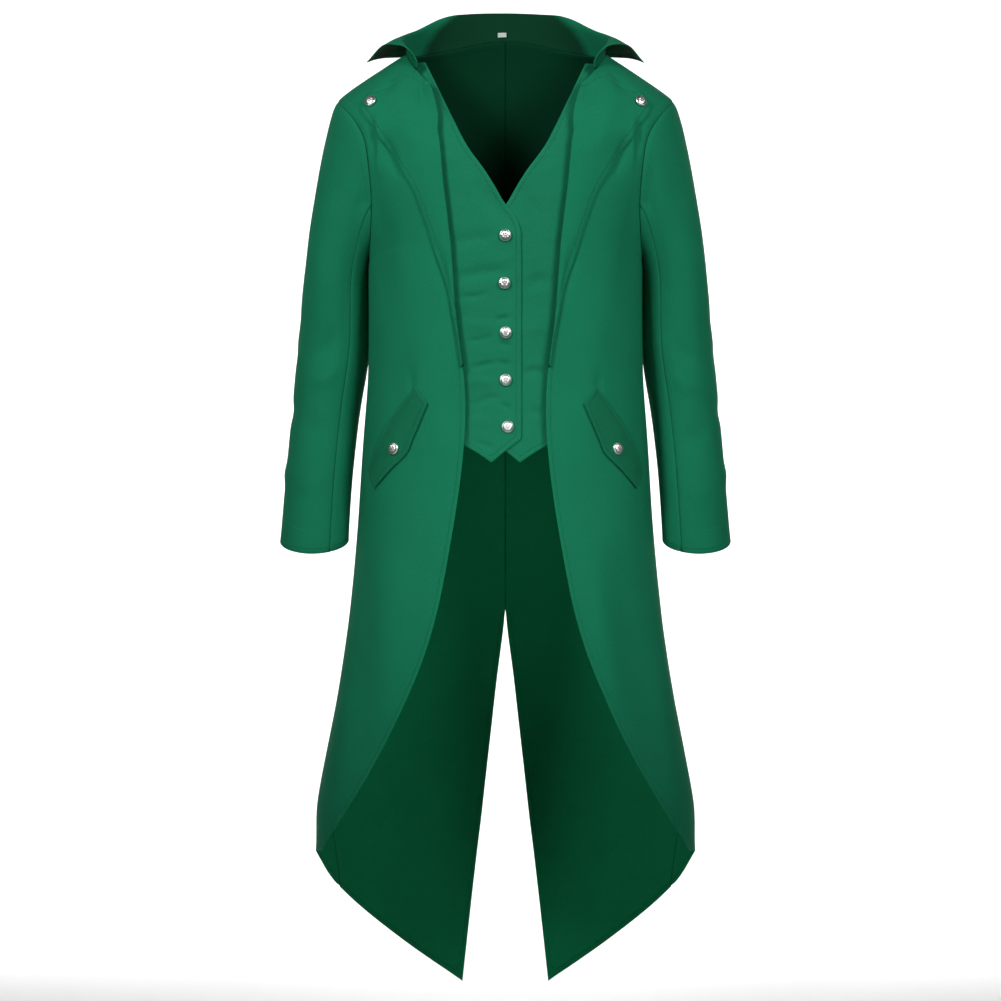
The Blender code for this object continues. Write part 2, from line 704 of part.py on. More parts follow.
def collar_faces(angles, shares):
    """The collar's under face and the way from it to the face that shows."""
    under = collar_under(angles, shares)
    ahead = collar_under(angles + STEP, shares) - collar_under(angles - STEP, shares)
    shares = np.asarray(shares)
    along = collar_under(angles, np.clip(shares + STEP, 0, 1)) - collar_under(angles, np.clip(shares - STEP, 0, 1))
    normals = unit(np.cross(ahead, along))
    middle = len(angles) // 2
    if (normals[0, middle] * (0.0, 1.0, 0.0)).sum() > 0:
        normals = -normals
    return under, normals


def build_collar(name, material):
    """The rolled collar from one neck point round the back to the other."""
    first = np.radians(NECK_POINT_ANGLE)
    angles = np.linspace(first, 2 * HALF - first, COLLAR_COLUMNS)
    under, normals = collar_faces(angles, np.linspace(0, 1, COLLAR_ROWS))
    return closed_wall(name, under + COLLAR_WALL * normals, under, material)


def build_label(name, material):
    """The small bare label inside the back of the collar."""
    radius = np.linalg.norm(body(HALF, NECKLINE)[:2])
    ends = (LABEL_SHIFT - LABEL_WIDTH / 2, LABEL_SHIFT + LABEL_WIDTH / 2)
    angles = HALF + np.linspace(*ends, 5) / radius
    under, normals = collar_faces(angles, np.linspace(*LABEL_PLACE, 3))
    inner = under + (COLLAR_WALL + LAYER_GAP) * normals
    return closed_wall(name, inner + LABEL_WALL * normals, inner, material)


def build_button(name, place, lift, side, material):
    """A domed metal button, lying on cloth that stands off the body surface by a lift."""
    centre = body(place[0], place[1]) + (lift + SEAM_GAP) * body_normal(place[0], place[1])
    axis = body_normal(place[0], place[1])
    across = unit(np.cross(axis, (0.0, 0.0, 1.0)))
    up = np.cross(across, axis)
    points = []
    for radius, rise in BUTTON_PROFILE:
        for step in range(BUTTON_SIDES):
            turn = 2 * HALF * step / BUTTON_SIDES
            ray = across * np.cos(turn) + up * np.sin(turn)
            points.append(centre + BUTTON_RADIUS * radius * ray + BUTTON_RISE * rise * axis)
    points = np.array(points) * (side, 1.0, 1.0)
    faces = [list(range(BUTTON_SIDES))[::-1]]
    for ring in range(len(BUTTON_PROFILE) - 1):
        for step in range(BUTTON_SIDES):
            near = ring * BUTTON_SIDES + step
            beside = ring * BUTTON_SIDES + (step + 1) % BUTTON_SIDES
            faces.append([near, beside, beside + BUTTON_SIDES, near + BUTTON_SIDES])
    top = (len(BUTTON_PROFILE) - 1) * BUTTON_SIDES
    faces.append([top + step for step in range(BUTTON_SIDES)])
    return add_object(name, points, faces, material)


def build_coat():
    """Every piece of the coat."""
    cloth = make_material("coat cloth")
    waistcoat_cloth = make_material("waistcoat cloth")
    flap_cloth = make_material("flap cloth")
    metal = make_material("button metal", metallic=1.0, roughness=0.35)
    whole_turn = SLEEVE_LINES
    for word, side in (("left", -1.0), ("right", 1.0)):
        build_front(f"front_{word}", side, cloth)
        build_back(f"back_{word}", side, cloth)
        build_lapel(f"lapel_{word}", side, cloth)
        build_flap(f"flap_{word}", side, flap_cloth)
        build_waistcoat(f"waistcoat_{word}", side, word == "right", waistcoat_cloth)
        build_sleeve(f"sleeve_under_{word}", side, FRONT_SEAM_LINE, HIND_SEAM_LINE, cloth)
        build_sleeve(f"sleeve_top_{word}", side, HIND_SEAM_LINE, whole_turn + FRONT_SEAM_LINE, cloth)
        lapel_place, flap_place = find_places([LAPEL_BUTTON, FLAP_BUTTON])
        lapel_top = LAYER_GAP + LAPEL_WALL + LAPEL_BUTTON_LOFT
        flap_top = LAYER_GAP + LAPEL_WALL + FLAP_BUTTON_LOFT
        build_button(f"button_lapel_{word}", lapel_place, lapel_top, side, metal)
        build_button(f"button_flap_{word}", flap_place, flap_top, side, metal)
    build_collar("collar", cloth)
    build_label("neck_label", make_material("label"))
    waistcoat_top = -(COAT_WALL + WAISTCOAT_GAP + WAISTCOAT_DEPTH)
    for number, place in enumerate(find_places(WAISTCOAT_BUTTONS), start=1):
        build_button(f"button_waistcoat_{number}", place, waistcoat_top, 1.0, metal)


clear_scene()
build_coat()
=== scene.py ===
"""The looks of a green tailcoat: soft cloth panels, stitched edges, metal buttons, and a plain studio.

Metres, +Z up, +X to the viewer's right, -Y towards the viewer. Each panel of cloth starts as the outer wall
of its solid, is rounded and creased as worn cloth is, and gets its thickness again.
"""

from __future__ import annotations

import json
import logging
import math
from dataclasses import dataclass, field
from enum import Enum

import bpy
import numpy as np
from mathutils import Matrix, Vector, kdtree, noise
from mathutils.bvhtree import BVHTree

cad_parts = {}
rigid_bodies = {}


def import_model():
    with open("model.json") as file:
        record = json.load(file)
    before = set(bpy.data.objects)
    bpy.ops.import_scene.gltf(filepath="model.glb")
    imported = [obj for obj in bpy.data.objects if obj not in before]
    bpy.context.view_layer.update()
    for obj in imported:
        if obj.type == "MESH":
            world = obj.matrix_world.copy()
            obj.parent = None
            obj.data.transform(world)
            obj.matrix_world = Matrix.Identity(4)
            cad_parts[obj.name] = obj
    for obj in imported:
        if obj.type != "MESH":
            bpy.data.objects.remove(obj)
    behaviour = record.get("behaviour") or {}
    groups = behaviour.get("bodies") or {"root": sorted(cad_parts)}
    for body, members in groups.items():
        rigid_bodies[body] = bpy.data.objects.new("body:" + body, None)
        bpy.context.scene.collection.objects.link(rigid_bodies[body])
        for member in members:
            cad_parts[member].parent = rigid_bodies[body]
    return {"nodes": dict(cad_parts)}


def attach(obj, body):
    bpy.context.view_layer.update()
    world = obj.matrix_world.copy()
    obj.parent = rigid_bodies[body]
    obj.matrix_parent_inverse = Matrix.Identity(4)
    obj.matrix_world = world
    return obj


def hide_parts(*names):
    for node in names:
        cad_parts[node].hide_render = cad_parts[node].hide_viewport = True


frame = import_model()

LOG = logging.getLogger("tailcoat")
MM = 0.001
BODY = "root"

# The camera stands level in front of the coat, as far off as the coat's drawing was made for
EYE_DISTANCE = 3.6
EYE_ACROSS = -0.00665
EYE_HEIGHT = -0.5832
VIEW_WIDTH = 1.33133
SENSOR = 36.0

# How far in from a free edge, and up from a sleeve's hem, the stitches run, in mm
STITCH_INSET = 6.0
HEM_HEIGHT = 31.0
# The height above which the inside of the tails takes the dark inner cloth as painted shade, and the panels
# that do so
PAINTED_SHADE_DOWN_TO = -0.42
TAILED = ("forepart", "back_panel")
# How much the drawn creases are raised, so that they show in soft light
RELIEF = 2.2
# Half the width of the collar's inner band of painted shade in the front view, by height, in mm
PAINTED_SHADE_BAND_HEIGHTS = (-5, 0, 13, 24, 41, 58, 75)
PAINTED_SHADE_BAND_HALF_WIDTHS = (118, 115, 108, 103, 92, 73, 50)
# How far from an edge the cloth is drawn to its seam, lies calm, dips and is doubled, in mm
PULL_REACH = 12.0
CALM_REACH = 16.0
DIP_REACH = 3.0
DOUBLED_REACH = 5.0
# How far panels overlap at a seam, and how far a turned edge rises, in mm
SEAM_OVERLAP = 0.12
DOUBLED_RISE = 0.25
# The largest distance to an edge that is kept, in metres
EDGE_FAR = 0.05
# How near a lapel's edge is to the forepart's edge where it is folded, and the fold's upper end, in mm
FOLD_REACH = 4.6
FOLD_TOP = -45.0


class Facing(Enum):
    """The way that the outer side of a panel looks."""

    FRONT = (0.0, -1.0, 0.0)
    BACK = (0.0, 1.0, 0.0)
    LEFT = (-1.0, 0.0, 0.0)
    RIGHT = (1.0, 0.0, 0.0)
    UP = (0.0, 0.0, 1.0)


class Plane(Enum):
    """The flat view in which a crease is drawn: the axes it uses, and the side that it lies on."""

    FRONT = (0, 2, 1, -1.0)
    BACK = (0, 2, 1, 1.0)
    OUTER_LEFT = (1, 2, 0, -1.0)
    OUTER_RIGHT = (1, 2, 0, 1.0)


def look_at_only(item: bpy.types.Object) -> None:
    """Deselect everything, then select and activate one object.

    Args:
        item: The object to work on.
    """
    bpy.ops.object.select_all(action="DESELECT")
    item.select_set(True)
    bpy.context.view_layer.objects.active = item


def open_mesh(item: bpy.types.Object, mode: str = "VERT") -> None:
    """Open an object in edit mode with nothing selected.

    Args:
        item: The mesh object.
        mode: The kind of element to select: VERT, EDGE or FACE.
    """
    look_at_only(item)
    bpy.ops.object.mode_set(mode="EDIT")
    bpy.ops.mesh.select_mode(type=mode)
    bpy.ops.mesh.select_all(action="DESELECT")


def close_mesh() -> None:
    """Leave edit mode."""
    bpy.ops.object.mode_set(mode="OBJECT")


def pick(item: bpy.types.Object, kind: str, chosen: np.ndarray) -> None:
    """Select chosen vertices or faces of a mesh, in edit mode, and nothing else.

    Args:
        item: The mesh object, in object mode.
        kind: VERT or FACE.
        chosen: True for each element to select.
    """
    open_mesh(item, kind)
    close_mesh()
    elements = item.data.vertices if kind == "VERT" else item.data.polygons
    elements.foreach_set("select", np.asarray(chosen, bool))
    bpy.ops.object.mode_set(mode="EDIT")


def vertices_of(item: bpy.types.Object) -> np.ndarray:
    """The vertices of a mesh as an array with a row for each.

    Args:
        item: The mesh object.

    Returns:
        The vertices' places.
    """
    places = np.zeros(len(item.data.vertices) * 3)
    item.data.vertices.foreach_get("co", places)
    return places.reshape(-1, 3)


def normals_of(item: bpy.types.Object) -> np.ndarray:
    """The normals of a mesh's vertices as an array with a row for each.

    Args:
        item: The mesh object.

    Returns:
        The vertices' normals.
    """
    normals = np.zeros(len(item.data.vertices) * 3)
    item.data.vertices.foreach_get("normal", normals)
    return normals.reshape(-1, 3)


def move_vertices(item: bpy.types.Object, places: np.ndarray) -> None:
    """Set the places of a mesh's vertices."""
    item.data.vertices.foreach_set("co", np.asarray(places, float).ravel())
    item.data.update()


def corners_of(mesh: bpy.types.Mesh) -> np.ndarray:
    """The vertex of each corner of a mesh's faces.

    Args:
        mesh: The mesh.

    Returns:
        The vertices' numbers.
    """
    corners = np.zeros(len(mesh.loops), int)
    mesh.loops.foreach_get("vertex_index", corners)
    return corners


def add_map(mesh: bpy.types.Mesh, name: str, first: np.ndarray, second: np.ndarray) -> None:
    """Write two values of each vertex to a new UV map.

    Args:
        mesh: The mesh.
        name: The map's name.
        first: The first value of each vertex.
        second: The second.
    """
    layer = mesh.uv_layers.new(name=name)
    layer.data.foreach_set("uv", np.stack([first, second], axis=-1)[corners_of(mesh)].ravel())


def start_material(
    name: str,
) -> tuple[bpy.types.Material, bpy.types.ShaderNodeTree, bpy.types.ShaderNode]:
    """Make a new material.

    Args:
        name: Its name.

    Returns:
        The material, its node tree and its shader.
    """
    material = bpy.data.materials.new(name)
    material.use_nodes = True
    return material, material.node_tree, material.node_tree.nodes["Principled BSDF"]


def colour_mix(
    tree: bpy.types.ShaderNodeTree, first: list[float], second: list[float]
) -> bpy.types.ShaderNode:
    """Make a mix from one colour to another.

    Args:
        tree: The node tree that it goes in.
        first: The colour at 0.
        second: The colour at 1.

    Returns:
        The mix node.
    """
    mix = tree.nodes.new("ShaderNodeMix")
    mix.data_type = "RGBA"
    mix.inputs["A"].default_value = (*first, 1.0)
    mix.inputs["B"].default_value = (*second, 1.0)
    return mix


def thread_tones(
    colour: tuple[float, float, float], dark: float, light: float
) -> tuple[list[float], list[float]]:
    """The darkest and the lightest thread of a cloth.

    Args:
        colour: The cloth's colour.
        dark: The share of it that the darkest thread has.
        light: The share that the lightest has.

    Returns:
        The two colours.
    """
    return [channel * dark for channel in colour], [min(1.0, channel * light) for channel in colour]


def apply_modifier(item: bpy.types.Object, modifier: bpy.types.Modifier) -> None:
    """Apply one modifier of an object."""
    look_at_only(item)
    bpy.ops.object.modifier_apply(modifier=modifier.name)


def boundary_edges(item: bpy.types.Object) -> np.ndarray:
    """The vertex pairs of the edges that only one face uses.

    Args:
        item: The mesh object.

    Returns:
        A row for each such edge.
    """
    mesh = item.data
    loops = np.zeros(len(mesh.loops), int)
    mesh.loops.foreach_get("edge_index", loops)
    used = np.bincount(loops, minlength=len(mesh.edges))
    pairs = np.zeros(len(mesh.edges) * 2, int)
    mesh.edges.foreach_get("vertices", pairs)
    return pairs.reshape(-1, 2)[used == 1]


def boundary_loop(item: bpy.types.Object) -> list[int]:
    """The vertices round the edge of an open sheet, in order.

    Args:
        item: The sheet.

    Returns:
        The vertices' numbers.
    """
    neighbours: dict[int, list[int]] = {}
    for first, second in boundary_edges(item).tolist():
        neighbours.setdefault(first, []).append(second)
        neighbours.setdefault(second, []).append(first)
    start = min(neighbours)
    loop = [start]
    before, here = start, neighbours[start][0]
    while here != start:
        loop.append(here)
        ahead = neighbours[here]
        before, here = here, ahead[0] if ahead[0] != before else ahead[1]
    return loop


def tree_of(points: np.ndarray) -> kdtree.KDTree:
    """A search tree of points.

    Args:
        points: The points.

    Returns:
        The tree.
    """
    tree = kdtree.KDTree(len(points))
    for number, point in enumerate(points):
        tree.insert(Vector(point), number)
    tree.balance()
    return tree


def distances(points: np.ndarray, others: np.ndarray) -> np.ndarray:
    """The distance from each point to the nearest of the others.

    Args:
        points: The points.
        others: The points to measure to.

    Returns:
        A distance for each point.
    """
    if len(others) == 0:
        return np.full(len(points), 1.0)
    return nearest_rows(points, others)[1]


def nearest_rows(points: np.ndarray, others: np.ndarray) -> tuple[np.ndarray, np.ndarray]:
    """For each point, the row of the nearest of the others and its distance.

    Args:
        points: The points.
        others: The points to measure to.

    Returns:
        The rows and the distances.
    """
    tree = tree_of(others)
    found = [tree.find(Vector(point)) for point in points]
    return np.array([hit[1] for hit in found]), np.array([hit[2] for hit in found])


def nearest_on_loop(points: np.ndarray, loop: np.ndarray) -> np.ndarray:
    """For each point, the nearest place on a closed line.

    Args:
        points: The points.
        loop: The line's points in order.

    Returns:
        A row for each point.
    """
    starts = loop
    ways = np.roll(loop, -1, axis=0) - loop
    squares = np.maximum((ways * ways).sum(axis=1), 1e-18)
    nearest = np.empty_like(points)
    for number, point in enumerate(points):
        shares = np.clip(((point - starts) * ways).sum(axis=1) / squares, 0, 1)
        feet = starts + shares[:, None] * ways
        nearest[number] = feet[np.argmin(((feet - point) ** 2).sum(axis=1))]
    return nearest


def surface_tree(item: bpy.types.Object) -> BVHTree:
    """A search tree of a mesh's faces."""
    mesh = item.data
    return BVHTree.FromPolygons([v.co for v in mesh.vertices], [list(p.vertices) for p in mesh.polygons])


class Grid:
    """The rows and columns of a sheet that has been cut into triangles."""

    def __init__(self, item: bpy.types.Object) -> None:
        """Read the sheet's triangles.

        Args:
            item: The sheet.
        """
        self.loop = boundary_loop(item)
        self.count = len(item.data.vertices)
        self.tips: dict[tuple[int, int], list[int]] = {}
        for face in item.data.polygons:
            corners = list(face.vertices)
            for turn in range(3):
                first, second, tip = corners[turn], corners[(turn + 1) % 3], corners[(turn + 2) % 3]
                self.tips.setdefault((min(first, second), max(first, second)), []).append(tip)

    def tips_of(self, first: int, second: int) -> list[int]:
        """The far corners of the triangles on an edge."""
        return self.tips.get((min(first, second), max(first, second)), [])

    def find(self) -> list[tuple[int, int]]:
        """Find the diagonals that divide the grid's quads.

        Returns:
            The vertex pairs of the diagonals.

        Raises:
            ValueError: If the sheet isn't a grid.
        """
        half = len(self.loop) // 2 + 2
        spread = math.isqrt(half * half - 4 * self.count)
        for columns in ((half - spread) // 2, (half + spread) // 2):
            for start in range(len(self.loop)):
                diagonals = self.walk(start, columns, self.count // columns)
                if diagonals is not None:
                    return diagonals
        raise ValueError("the sheet isn't a grid")

    def walk(self, start: int, columns: int, rows: int) -> list[tuple[int, int]] | None:
        """Try to cross the whole sheet row by row from one place on its edge.

        Args:
            start: Where on the edge the first row begins.
            columns: The number of points in a row.
            rows: The number of rows.

        Returns:
            The diagonals, or None if the rows don't fit.
        """
        size = len(self.loop)
        row = [self.loop[(start + step) % size] for step in range(columns)]
        used: list[set[int]] = [set() for _ in range(columns)]
        diagonals = []
        for down in range(1, rows):
            following = [self.loop[(start - down) % size]]
            for step in range(1, columns):
                first, second, known = row[step - 1], row[step], following[-1]
                ahead = [tip for tip in self.tips_of(first, second) if tip not in used[step]]
                if len(ahead) != 1:
                    return None
                if ahead[0] == known:
                    beyond = [tip for tip in self.tips_of(known, second) if tip != first]
                    if len(beyond) != 1:
                        return None
                    corner = beyond[0]
                    diagonals.append((known, second))
                else:
                    corner = ahead[0]
                    if known not in self.tips_of(first, corner):
                        return None
                    diagonals.append((first, corner))
                following.append(corner)
            if following[-1] != self.loop[(start + columns - 1 + down) % size]:
                return None
            used = [set()] + [{row[step - 1], row[step]} for step in range(1, columns)]
            row = following
        return diagonals


@dataclass
class Crease:
    """A soft trough or ridge in the cloth, drawn along a short line.

    Attributes:
        plane: The flat view that the line is drawn in.
        line: The line's points: across and height, in mm.
        width: Half the crease's width, in mm.
        depth: How far it rises, in mm; a trough is negative.
        lean: How much steeper its first side is, from -1 to 1.
    """

    plane: Plane
    line: tuple[tuple[float, float], ...]
    width: float
    depth: float
    lean: float = 0.0

    def rise(self, places: np.ndarray, normals: np.ndarray) -> np.ndarray:
        """How far the crease lifts each vertex.

        Args:
            places: The vertices' places.
            normals: Their normals.

        Returns:
            The lift of each vertex, in metres.
        """
        across, up, depth_axis, side = self.plane.value
        flat = places[:, (across, up)]
        points = np.array(self.line) * MM
        best = np.full(len(flat), 1e9)
        along = np.zeros(len(flat))
        signed = np.zeros(len(flat))
        lengths = np.linalg.norm(np.diff(points, axis=0), axis=1)
        total = lengths.sum()
        start = 0.0
        for first, second, length in zip(points[:-1], points[1:], lengths):
            way = (second - first) / length
            share = np.clip((flat - first) @ way, 0, length)
            gap = flat - first - share[:, None] * way
            distance = np.linalg.norm(gap, axis=1)
            nearer = distance < best
            best = np.where(nearer, distance, best)
            along = np.where(nearer, (start + share) / total, along)
            signed = np.where(nearer, np.sign(way[0] * gap[:, 1] - way[1] * gap[:, 0]), signed)
            start += length
        width = self.width * MM * (1 + self.lean * 0.5 * signed)
        taper = np.sin(np.pi * np.clip(0.08 + 0.84 * along, 0, 1)) ** 0.8
        facing = np.clip(normals[:, depth_axis] * side * 2.5, 0, 1)
        return self.depth * MM * taper * facing * np.exp(-((best / width) ** 2))


@dataclass
class Ripples:
    """The slight unevenness of pressed cloth, which differs from panel to panel.

    Attributes:
        height: Its height, in mm.
        size: The size of its swells, in mm.
        stretch: How much longer they are up and down than across.
    """

    height: float = 0.5
    size: float = 55.0
    stretch: float = 2.4

    def rise(self, places: np.ndarray, seed: float) -> np.ndarray:
        """How far the unevenness lifts each vertex.

        Args:
            places: The vertices' places.
            seed: A number that sets one panel's swells apart from another's.

        Returns:
            The lift of each vertex, in metres.
        """
        lifts = np.empty(len(places))
        scale = 1 / (self.size * MM)
        for number, (x, y, z) in enumerate(places):
            point = Vector((x * scale + seed, y * scale, z * scale / self.stretch))
            fine = Vector((x * scale * 2.7, y * scale * 2.7 + seed, z * scale * 2.7 / self.stretch))
            lifts[number] = noise.noise(point) + 0.35 * noise.noise(fine)
        return self.height * MM * lifts


@dataclass(frozen=True)
class Cut:
    """The flat cut of a panel.

    Attributes:
        width: Its width, in metres; not used.
        length: Its length, in metres; not used.
        area: Its area, in square metres; not used.
        wall: How thick its solid's wall is, in mm.
    """

    width: float
    length: float
    area: float
    wall: float = 1.8


@dataclass(frozen=True)
class Seam:
    """Two kinds of panel that are sewn together edge to edge.

    Attributes:
        first: The name of one panel, without its side.
        second: The name of the other.
        reach: How far apart their edges may be where they are sewn, in mm.
        across: True where the two are on opposite sides of the coat.
    """

    first: str
    second: str
    reach: float
    across: bool = False


SEAMS = (
    Seam("forepart", "back_panel", 4.0),
    Seam("forepart", "sleeve_top_cloth", 7.0),
    Seam("forepart", "sleeve_under_cloth", 7.0),
    Seam("back_panel", "sleeve_top_cloth", 7.0),
    Seam("back_panel", "sleeve_under_cloth", 7.0),
    Seam("sleeve_top_cloth", "sleeve_under_cloth", 4.0),
    Seam("back_panel", "back_panel", 1.2, across=True),
    Seam("collar_cloth", "forepart", 5.0),
    Seam("collar_cloth", "back_panel", 5.0),
)


@dataclass
class Panel:
    """One panel of cloth.

    Attributes:
        name: The piece's name.
        node: The solid that it stands for.
        facing: The way that its outer side looks where it stands out most.
        cut: Its flat cut.
        slot: The record's material slot.
        rests_on: What it is sewn to or lies on; not used.
        thickness: The cloth's thickness, in mm.
        levels: How often its faces are divided.
        creases: Its creases.
        ripples: Its unevenness.
        seam_dip: How deep its edges sink at a seam, in mm.
        corner: The turn of an outline, in degrees, that stays a corner.
    """

    name: str
    node: str
    facing: Facing
    cut: Cut
    slot: str = "coat_cloth"
    rests_on: tuple[str, ...] = ()
    thickness: float = 1.2
    levels: int = 3
    creases: tuple[Crease, ...] = ()
    ripples: Ripples = field(default_factory=Ripples)
    seam_dip: float = 0.9
    corner: float = 28.0
    piece: bpy.types.Object | None = None
    edge: np.ndarray | None = None
    edge_normals: np.ndarray | None = None
    flush: np.ndarray | None = None
    moves: np.ndarray | None = None
    sewn: np.ndarray | None = None
    free: np.ndarray | None = None

    @property
    def kind(self) -> str:
        """The panel's name without its side."""
        return self.name.removesuffix("_left").removesuffix("_right")

    @property
    def side(self) -> str:
        """The panel's side, or nothing for one in the middle."""
        return self.name[len(self.kind):]

    def lay_out(self) -> None:
        """Make the sheet from the outer wall of the solid, divided and smoothed, with its flat pattern."""
        self.piece = bpy.data.objects.new(self.name, frame["nodes"][self.node].data.copy())
        bpy.context.scene.collection.objects.link(self.piece)
        self.piece.data.materials.clear()
        self.keep_outer_wall()
        self.restore_quads()
        self.mark_corners()
        self.unfold()
        self.divide()
        loop = boundary_loop(self.piece)
        self.edge = vertices_of(self.piece)[loop]
        self.edge_normals = normals_of(self.piece)[loop]

    def keep_outer_wall(self) -> None:
        """Merge the loose triangles of the solid, and delete its rim and its inner wall."""
        open_mesh(self.piece)
        bpy.ops.mesh.select_all(action="SELECT")
        bpy.ops.mesh.remove_doubles(threshold=0.002 * MM)
        close_mesh()
        places = vertices_of(self.piece)
        rim_edges = set()
        for edge in self.piece.data.edges:
            first, second = edge.vertices
            length = float(np.linalg.norm(places[first] - places[second]))
            if abs(length - self.cut.wall * MM) < 0.012 * MM:
                rim_edges.add((min(first, second), max(first, second)))
        faces = self.piece.data.polygons
        in_rim = [any(tuple(sorted(key)) in rim_edges for key in face.edge_keys) for face in faces]
        pick(self.piece, "FACE", np.array(in_rim))
        bpy.ops.mesh.delete(type="FACE")
        close_mesh()
        way = Vector(self.facing.value)
        faces = self.piece.data.polygons
        seed = max(faces, key=lambda face: face.center.dot(way) * (face.normal.dot(way) > 0.5) or -9)
        chosen = np.zeros(len(faces), bool)
        chosen[seed.index] = True
        pick(self.piece, "FACE", chosen)
        bpy.ops.mesh.select_linked()
        bpy.ops.mesh.select_all(action="INVERT")
        bpy.ops.mesh.delete(type="VERT")
        bpy.ops.mesh.select_all(action="SELECT")
        bpy.ops.mesh.faces_shade_smooth()
        close_mesh()

    def restore_quads(self) -> None:
        """Dissolve the diagonals, so that the sheet is a grid of quads again."""
        diagonals = {tuple(sorted(pair)) for pair in Grid(self.piece).find()}
        open_mesh(self.piece, "EDGE")
        close_mesh()
        for edge in self.piece.data.edges:
            edge.select = tuple(sorted(edge.vertices)) in diagonals
        bpy.ops.object.mode_set(mode="EDIT")
        bpy.ops.mesh.dissolve_edges(use_verts=False)
        close_mesh()

    def mark_corners(self) -> None:
        """Crease the corners of the outline, so that they stay sharp when the sheet is divided."""
        loop = boundary_loop(self.piece)
        places = vertices_of(self.piece)
        sharp = np.zeros(len(places), np.float32)
        for before, here, after in zip(loop[-1:] + loop[:-1], loop, loop[1:] + loop[:1]):
            first = Vector(places[here] - places[before])
            second = Vector(places[after] - places[here])
            if math.degrees(first.angle(second)) > self.corner:
                sharp[here] = 1.0
        crease = self.piece.data.attributes.new("crease_vert", "FLOAT", "POINT")
        crease.data.foreach_set("value", sharp)

    def unfold(self) -> None:
        """Give the sheet a UV map that is its flat pattern, in metres, with its length upwards."""
        open_mesh(self.piece)
        bpy.ops.mesh.select_all(action="SELECT")
        bpy.ops.uv.unwrap(method="ANGLE_BASED", margin=0.0)
        close_mesh()
        mesh = self.piece.data
        layer = mesh.uv_layers.active
        layer.name = "pattern"
        flat = np.zeros(len(layer.data) * 2)
        layer.data.foreach_get("uv", flat)
        flat = flat.reshape(-1, 2)
        heights = vertices_of(self.piece)[corners_of(mesh), 2]
        flat_area = 0.0
        for face in mesh.polygons:
            ring = flat[list(face.loop_indices)]
            x, y = ring[:, 0], ring[:, 1]
            flat_area += 0.5 * abs(float(np.dot(x, np.roll(y, -1)) - np.dot(y, np.roll(x, -1))))
        area = sum(face.area for face in mesh.polygons)
        flat = (flat - flat.mean(axis=0)) * math.sqrt(area / flat_area)
        level = heights - heights.mean()
        up = np.array([(flat[:, 0] * level).sum(), (flat[:, 1] * level).sum()])
        up = up / np.linalg.norm(up)
        turned = np.stack([flat @ np.array([up[1], -up[0]]), flat @ up], axis=-1)
        layer.data.foreach_set("uv", turned.ravel())
        size = np.ptp(turned, axis=0)
        LOG.info("%s: flat %.3f x %.3f m, area %.4f m2", self.name, size[0], size[1], area)

    def divide(self) -> None:
        """Divide the sheet smoothly, through the points that it has now."""
        aim = vertices_of(self.piece)
        cage = aim.copy()
        normals = normals_of(self.piece)
        inside = np.ones(len(aim), bool)
        inside[boundary_loop(self.piece)] = False
        modifier = self.piece.modifiers.new("rounding", "SUBSURF")
        modifier.levels = 1
        modifier.render_levels = 1
        modifier.boundary_smooth = "PRESERVE_CORNERS"
        modifier.uv_smooth = "PRESERVE_BOUNDARIES"
        for _ in range(3):
            move_vertices(self.piece, cage)
            seen = self.piece.evaluated_get(bpy.context.evaluated_depsgraph_get())
            reached = vertices_of(seen)[: len(aim)]
            missing = aim - reached
            upwards = normals * (missing * normals).sum(axis=1, keepdims=True)
            cage = cage + np.where(inside[:, None], upwards, missing)
        move_vertices(self.piece, cage)
        modifier.levels = self.levels
        modifier.render_levels = self.levels
        apply_modifier(self.piece, modifier)

    def partners(self, panels: dict[str, Panel]) -> list[tuple[Panel, float]]:
        """The panels that this one is sewn to, each with the seam's reach in metres.

        Args:
            panels: All panels by name.

        Returns:
            The panels and reaches.
        """
        found = []
        for seam in SEAMS:
            for mine, other in ((seam.first, seam.second), (seam.second, seam.first)):
                if mine != self.kind:
                    continue
                for panel in panels.values():
                    if panel is self or panel.kind != other:
                        continue
                    same = panel.side == self.side or not panel.side or not self.side
                    if same != seam.across and (panel, seam.reach * MM) not in found:
                        found.append((panel, seam.reach * MM))
        return found

    def find_seams(self, panels: dict[str, Panel]) -> None:
        """Find how far each point of the edge has to move to meet the panel that it is sewn to.

        Args:
            panels: All panels by name, laid out and not yet shaped.
        """
        self.moves = np.zeros_like(self.edge)
        nearest = np.full(len(self.edge), 1.0)
        self.flush = np.ones(len(self.edge))
        for panel, reach in self.partners(panels):
            closest = nearest_on_loop(self.edge, panel.edge)
            gap = np.linalg.norm(closest - self.edge, axis=1)
            strength = np.clip((reach - gap) / (0.45 * reach), 0, 1)
            better = (gap < nearest) & (strength > 0)
            nearest = np.where(better, gap, nearest)
            half = 0.5 * (closest - self.edge) * strength[:, None]
            self.moves = np.where(better[:, None], half, self.moves)
            rows, _ = nearest_rows(self.edge, panel.edge)
            alike = np.clip((self.edge_normals * panel.edge_normals[rows]).sum(axis=1) * 1.6 - 0.6, 0, 1)
            self.flush = np.where(better, alike, self.flush)
        self.sewn = nearest < 1.0
        self.free = ~self.sewn

